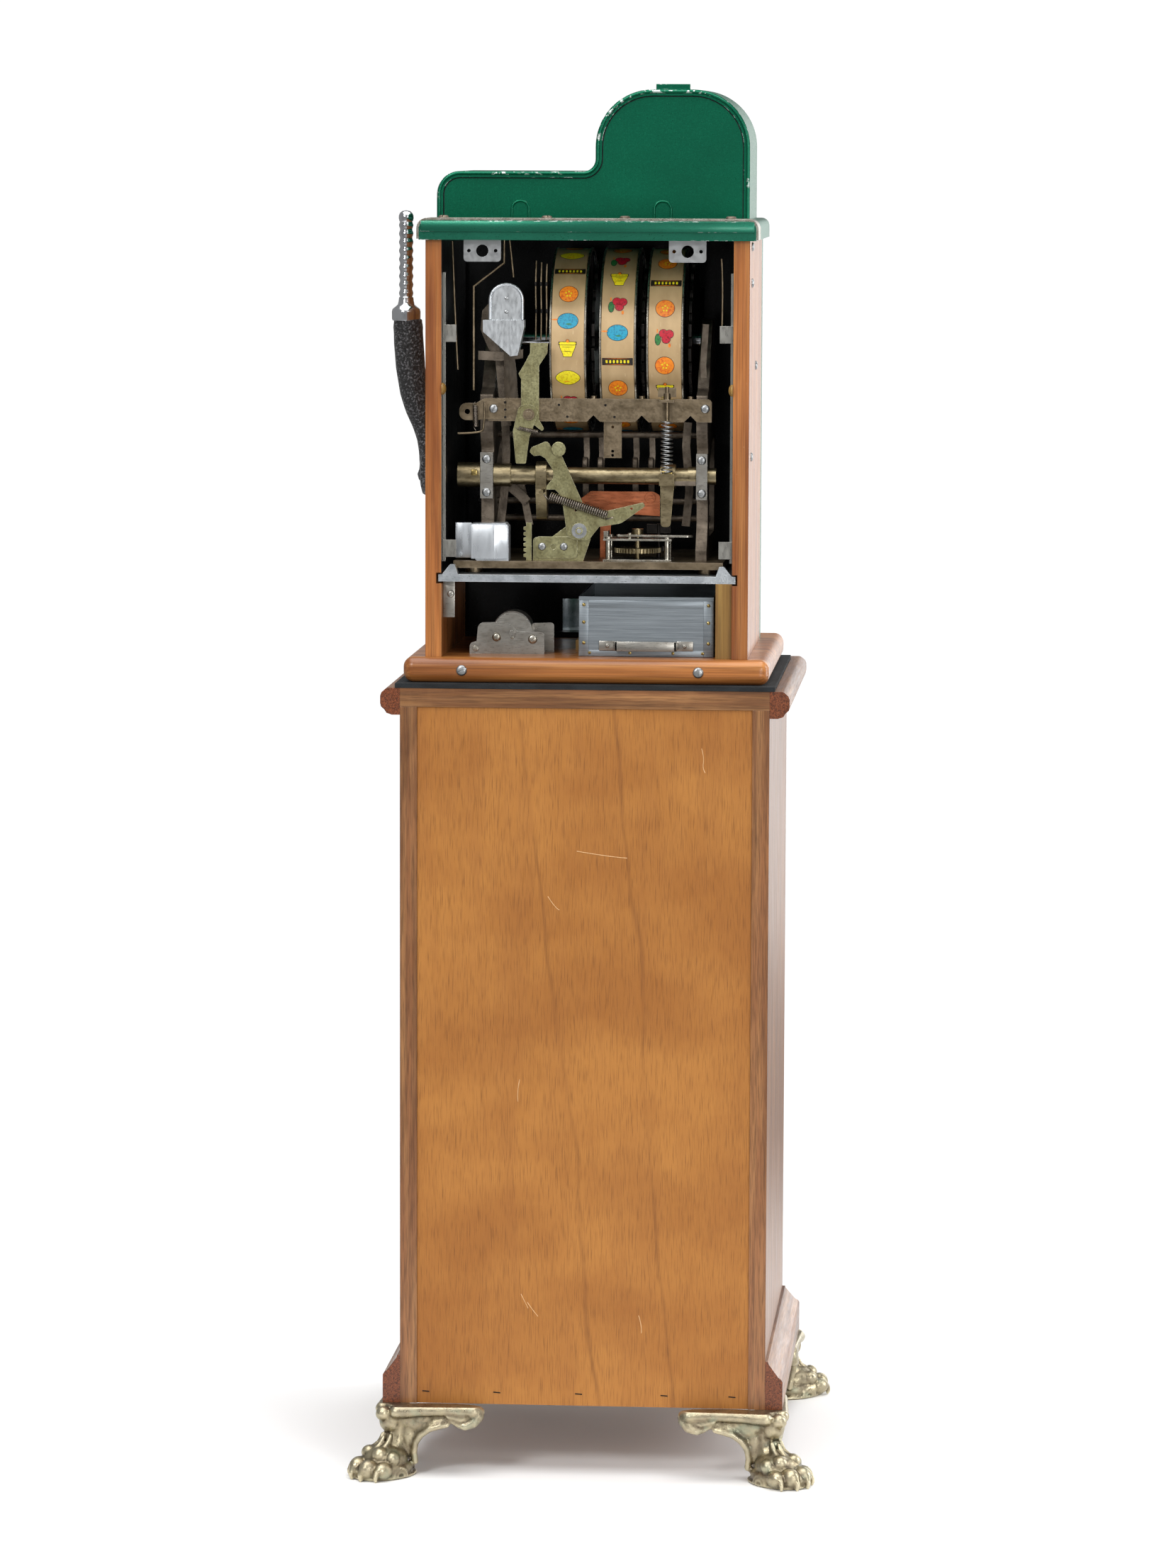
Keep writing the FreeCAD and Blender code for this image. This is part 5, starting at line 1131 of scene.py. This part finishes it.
def make_works_details():
    """The coin box's fold and wing, the case's plugs, the shelf's stay, the tie bar's pins and a washer."""
    fold = slab([(88.8, 170.9), (104, 176), (130, 174.3), (130, 170.9)], 38, 0.4)
    make_piece("coin_box_fold", moved(fold, Matrix.Translation((0, 0, 1027))), "pressed_aluminium",
               "cabinet")
    plugs = [stud([(0, 0), (6.6, 0), (6.6, 1.6), (5, 3.6), (2.6, 4.6), (0, 4.9)], (side * 161, 192.2, 1216),
                  (-side, 0, 0), 24) for side in (-1, 1)]
    make_piece("case_plugs", joined(*plugs), "varnished_pine", "cabinet")
    wing = [block((131, 149), (158, 159.2), (1027, 1066), 0.3),
            block((131, 133), (150, 159), (1030, 1062), 0.3)]
    make_piece("coin_box_wing", joined(*wing), "pressed_aluminium", "cabinet")
    stay = [block((147.5, 160.6), (178.5, 179.7), (962, 1002), 0.4),
            moved(screw_head(4, 2.2, 1.1), aim((152, 179.6, 988), REAR))]
    make_piece("shelf_stay", joined(*stay), "rolled_steel_plate", "cabinet")
    face = corners("tie_bar")[1].y
    dots = [stud([(0, 0), (1.5, 0), (1.3, 0.25), (0, 0.3)], (x, face, z), steps=16) for x, z in
            ((93.5, 1200), (93.5, 1192), (93.5, 1183.6), (33.8, 1197.6), (24.3, 1184.6), (-18, 1197.6),
             (-28, 1184.6))]
    make_piece("tie_bar_pins", joined(*dots), "blackened_steel", "cabinet")
    low, high = corners("copper_baffle")
    ring = [(0, 0.3), (3, 0.3), (3.2, 0.7), (6, 0.7), (6.3, 0), (0, 0)]
    washer = stud(ring, (low.x + 11, high.y, 1091.5), steps=28)
    make_piece("baffle_washer", washer, "copper_sheet", "cabinet")


def make_cover_ledge():
    """The upper band along the back of the cover, which stands out over the recessed lower band."""
    low, high = corners("top_cover")
    ledge = block((low.x + 2, high.x - 2), (high.y - 1, high.y + 2.4), (high.z - 12.5, high.z - 0.6), 0.8)
    make_piece("cover_ledge", ledge, "green_enamel_cap", "cabinet")


def make_panel_marks():
    """Pale scratches in the plywood back, and the staples along its lower edge."""
    face = corners("stand_back_panel")[1].y + 0.05
    strokes = [[(-130, face, 822), (-133, face, 812), (-131, face, 800), (-134, face, 795)],
               [(71, face, 449), (74, face, 436), (73, face, 424)],
               [(69, face, 206), (64, face, 196), (61, face, 190)],
               [(62, face, 197), (56, face, 188), (50, face, 181)],
               [(-63, face, 184), (-67, face, 172), (-66, face, 164)],
               [(8, face, 706), (-30, face, 700), (-48, face, 699)],
               [(40, face, 655), (31, face, 641), (27, face, 640)]]
    make_wire("panel_scratches", strokes, 0.9, "bare_lauan", "cabinet")
    staples = [[(x - 4, face, 93), (x + 4, face, 93.6)] for x in (176, 96, 4, -92, -168)]
    make_wire("panel_staples", staples, 1.3, "blackened_steel", "cabinet", False)


def make_front_dress():
    """The bezel round the reel window and the fluted ribs on the front casting."""
    y = corners("front_casting")[0].y
    wide, tall, bar = (-110, 55.5), (1212, 1319), 6
    bars = [block(x, (y - 3, y + 1), z, 1.2) for x, z in
            (((wide[0], wide[0] + bar), tall), ((wide[1] - bar, wide[1]), tall),
             (wide, (tall[1] - bar, tall[1])), (wide, (tall[0], tall[0] + bar)))]
    make_piece("window_bezel", joined(*bars), "bright_chromium", "cabinet")
    ribs = [block((x - 2.4, x + 2.4), (y - 4, y + 1), (1010, 1180), 1.8) for x in range(-120, 121, 20)]
    make_piece("front_ribs", joined(*ribs), "cast_aluminium", "cabinet")


def soft_light(name, place, target, width, height, power):
    """A white area light at a place, turned towards a target."""
    lamp = bpy.data.lights.new(name, "AREA")
    lamp.shape = "RECTANGLE"
    lamp.size, lamp.size_y, lamp.energy = width, height, power
    light = placed(name, lamp)
    turn = (Vector(target) - Vector(place)).to_track_quat("-Z", "Y")
    light.matrix_world = Matrix.Translation(place) @ turn.to_matrix().to_4x4()
    light.visible_camera = False


def make_stage():
    """A plain white floor under a white sky, soft lights and the camera."""
    shape = bmesh.new()
    bmesh.ops.create_circle(shape, cap_ends=True, segments=64, radius=4,
                            matrix=Matrix.Translation((0, 0, -0.0002)))
    mesh = as_mesh("studio_floor", shape)
    # Matt paper: a plain white sweep that fades into the white round it.
    tree, shader = start("matt_paper", Base_Color=tuple(colours().floor), Roughness=0.9,
                         Specular_IOR_Level=0.1)
    away = add(tree, "VectorMath", {0: add(tree, "TexCoord").outputs["Object"]},
               operation="LENGTH").outputs["Value"]
    tree.links.new(add(tree, "MapRange", {"Value": away, "From Min": 0.9, "From Max": 2.2, "To Min": 1.0,
                                          "To Max": 0.0}, interpolation_type="SMOOTHSTEP").outputs[0],
                   shader.inputs["Alpha"])
    mesh.materials.append(MATERIALS["matt_paper"])
    placed("studio_floor", mesh)
    world = bpy.data.worlds.new("white_studio")
    world.use_nodes = True
    sky = world.node_tree
    sky.nodes["Background"].inputs["Color"].default_value = (1, 1, 1, 1)
    seen = add(sky, "LightPath").outputs["Is Camera Ray"]
    strength = add(sky, "MapRange", {"Value": seen, "To Min": 0.34, "To Max": 1.05}).outputs[0]
    sky.links.new(strength, sky.nodes["Background"].inputs["Strength"])
    scene = bpy.context.scene
    scene.world = world
    scene.view_settings.view_transform = "Standard"
    soft_light("key", (2.0, 4.4, 3.4), (0, 0, 1.0), 1.3, 1.3, 105)
    soft_light("fill", (-2.6, 4.2, 1.9), (0, 0, 0.8), 1.0, 2.4, 52)
    soft_light("works", (-1.5, 4.4, 1.0), (0, 0, 1.15), 0.8, 0.8, 22)
    soft_light("side", (-3.2, -0.4, 1.5), (0, 0.0, 0.9), 1.2, 2.6, 70)
    soft_light("behind", (-1.7, -3.4, 1.4), (0, 0, 0.9), 2.0, 2.8, 38)
    soft_light("floor_wash", (0.0, 0.6, 3.6), (0, 0, 0), 3.4, 3.4, 130)
    lens = bpy.data.cameras.new("camera")
    lens.lens, lens.clip_end = 132.99, 200
    camera = placed("camera", lens)
    right = Vector((-0.99694629, -0.07801679, 0.00338817))
    up = Vector((0.01204335, -0.11073878, 0.99377657))
    turn = Matrix((right, up, right.cross(up))).transposed()
    camera.matrix_world = Matrix.Translation((-0.49896, 6.56687, 1.49505)) @ turn.to_4x4()
    scene.camera = camera


# Operators, panel and run

class REELMACHINE_OT_finishes(bpy.types.Operator):
    """Makes every material and gives the frame's nodes theirs."""
    bl_idname = "reelmachine.finishes"
    bl_label = "Finishes"

    def execute(self, context):
        make_woods()
        make_enamels()
        make_metals()
        make_papers()
        paint_frame()
        return {"FINISHED"}


class REELMACHINE_OT_mouldings(bpy.types.Operator):
    """Runs the crown and base mouldings round the pedestal."""
    bl_idname = "reelmachine.mouldings"
    bl_label = "Mouldings"

    def execute(self, context):
        make_mouldings()
        return {"FINISHED"}


class REELMACHINE_OT_feet(bpy.types.Operator):
    """Casts the four lion's paw feet."""
    bl_idname = "reelmachine.feet"
    bl_label = "Claw feet"

    def execute(self, context):
        make_feet()
        return {"FINISHED"}


class REELMACHINE_OT_handle(bpy.types.Operator):
    """Makes the pull handle's arm, ferrule and finger grip."""
    bl_idname = "reelmachine.handle"
    bl_label = "Pull handle"

    def execute(self, context):
        make_handle()
        return {"FINISHED"}


class REELMACHINE_OT_screws(bpy.types.Operator):
    """Sets slotted round-head screws in the case and the works."""
    bl_idname = "reelmachine.screws"
    bl_label = "Screws"

    def execute(self, context):
        make_screws()
        return {"FINISHED"}


class REELMACHINE_OT_springs(bpy.types.Operator):
    """Winds the springs of the levers and the governor."""
    bl_idname = "reelmachine.springs"
    bl_label = "Springs"

    def execute(self, context):
        make_springs()
        return {"FINISHED"}


class REELMACHINE_OT_reels(bpy.types.Operator):
    """Lays the printed strips round the three reels."""
    bl_idname = "reelmachine.reels"
    bl_label = "Reel strips"

    def execute(self, context):
        make_reels()
        return {"FINISHED"}


class REELMACHINE_OT_linkwork(bpy.types.Operator):
    """Adds wires, links and levers between the castings."""
    bl_idname = "reelmachine.linkwork"
    bl_label = "Linkwork"

    def execute(self, context):
        make_linkwork()
        make_levers()
        return {"FINISHED"}


class REELMACHINE_OT_fastenings(bpy.types.Operator):
    """Adds set screws, clips, rivets and seams."""
    bl_idname = "reelmachine.fastenings"
    bl_label = "Fastenings"

    def execute(self, context):
        make_fastenings()
        make_cash_box_trim()
        make_roller_bracket()
        make_chute_rim()
        return {"FINISHED"}


class REELMACHINE_OT_castings(bpy.types.Operator):
    """Adds the relief of the front and top castings."""
    bl_idname = "reelmachine.castings"
    bl_label = "Casting relief"

    def execute(self, context):
        make_casting_marks()
        make_works_details()
        make_cover_ledge()
        make_front_dress()
        make_panel_marks()
        return {"FINISHED"}


class REELMACHINE_OT_stage(bpy.types.Operator):
    """Sets the floor, the lights and the camera."""
    bl_idname = "reelmachine.stage"
    bl_label = "Studio"

    def execute(self, context):
        make_stage()
        return {"FINISHED"}


STEPS = (REELMACHINE_OT_finishes, REELMACHINE_OT_mouldings, REELMACHINE_OT_feet, REELMACHINE_OT_handle,
         REELMACHINE_OT_screws, REELMACHINE_OT_springs, REELMACHINE_OT_reels, REELMACHINE_OT_linkwork,
         REELMACHINE_OT_fastenings, REELMACHINE_OT_castings, REELMACHINE_OT_stage)


class REELMACHINE_PT_panel(bpy.types.Panel):
    """Sizes, colours and making steps of the reel machine."""
    bl_label = "Reel machine"
    bl_space_type = "VIEW_3D"
    bl_region_type = "UI"
    bl_category = "Reel machine"

    def draw(self, context):
        for group in (context.scene.reel_machine_sizes, context.scene.reel_machine_colours):
            for name in group.bl_rna.properties.keys():
                if name not in ("rna_type", "name"):
                    self.layout.prop(group, name)
        for step in STEPS:
            self.layout.operator(step.bl_idname)


CLASSES = (ReelMachineSizes, ReelMachineColours, *STEPS, REELMACHINE_PT_panel)


def register():
    for kind in CLASSES:
        bpy.utils.register_class(kind)
    bpy.types.Scene.reel_machine_sizes = bpy.props.PointerProperty(type=ReelMachineSizes)
    bpy.types.Scene.reel_machine_colours = bpy.props.PointerProperty(type=ReelMachineColours)


def unregister():
    del bpy.types.Scene.reel_machine_colours
    del bpy.types.Scene.reel_machine_sizes
    for kind in reversed(CLASSES):
        bpy.utils.unregister_class(kind)


def main():
    register()
    for step in STEPS:
        group, name = step.bl_idname.split(".")
        getattr(getattr(bpy.ops, group), name)()
    bpy.context.view_layer.update()
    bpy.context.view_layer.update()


if __name__ == "__main__":
    main()
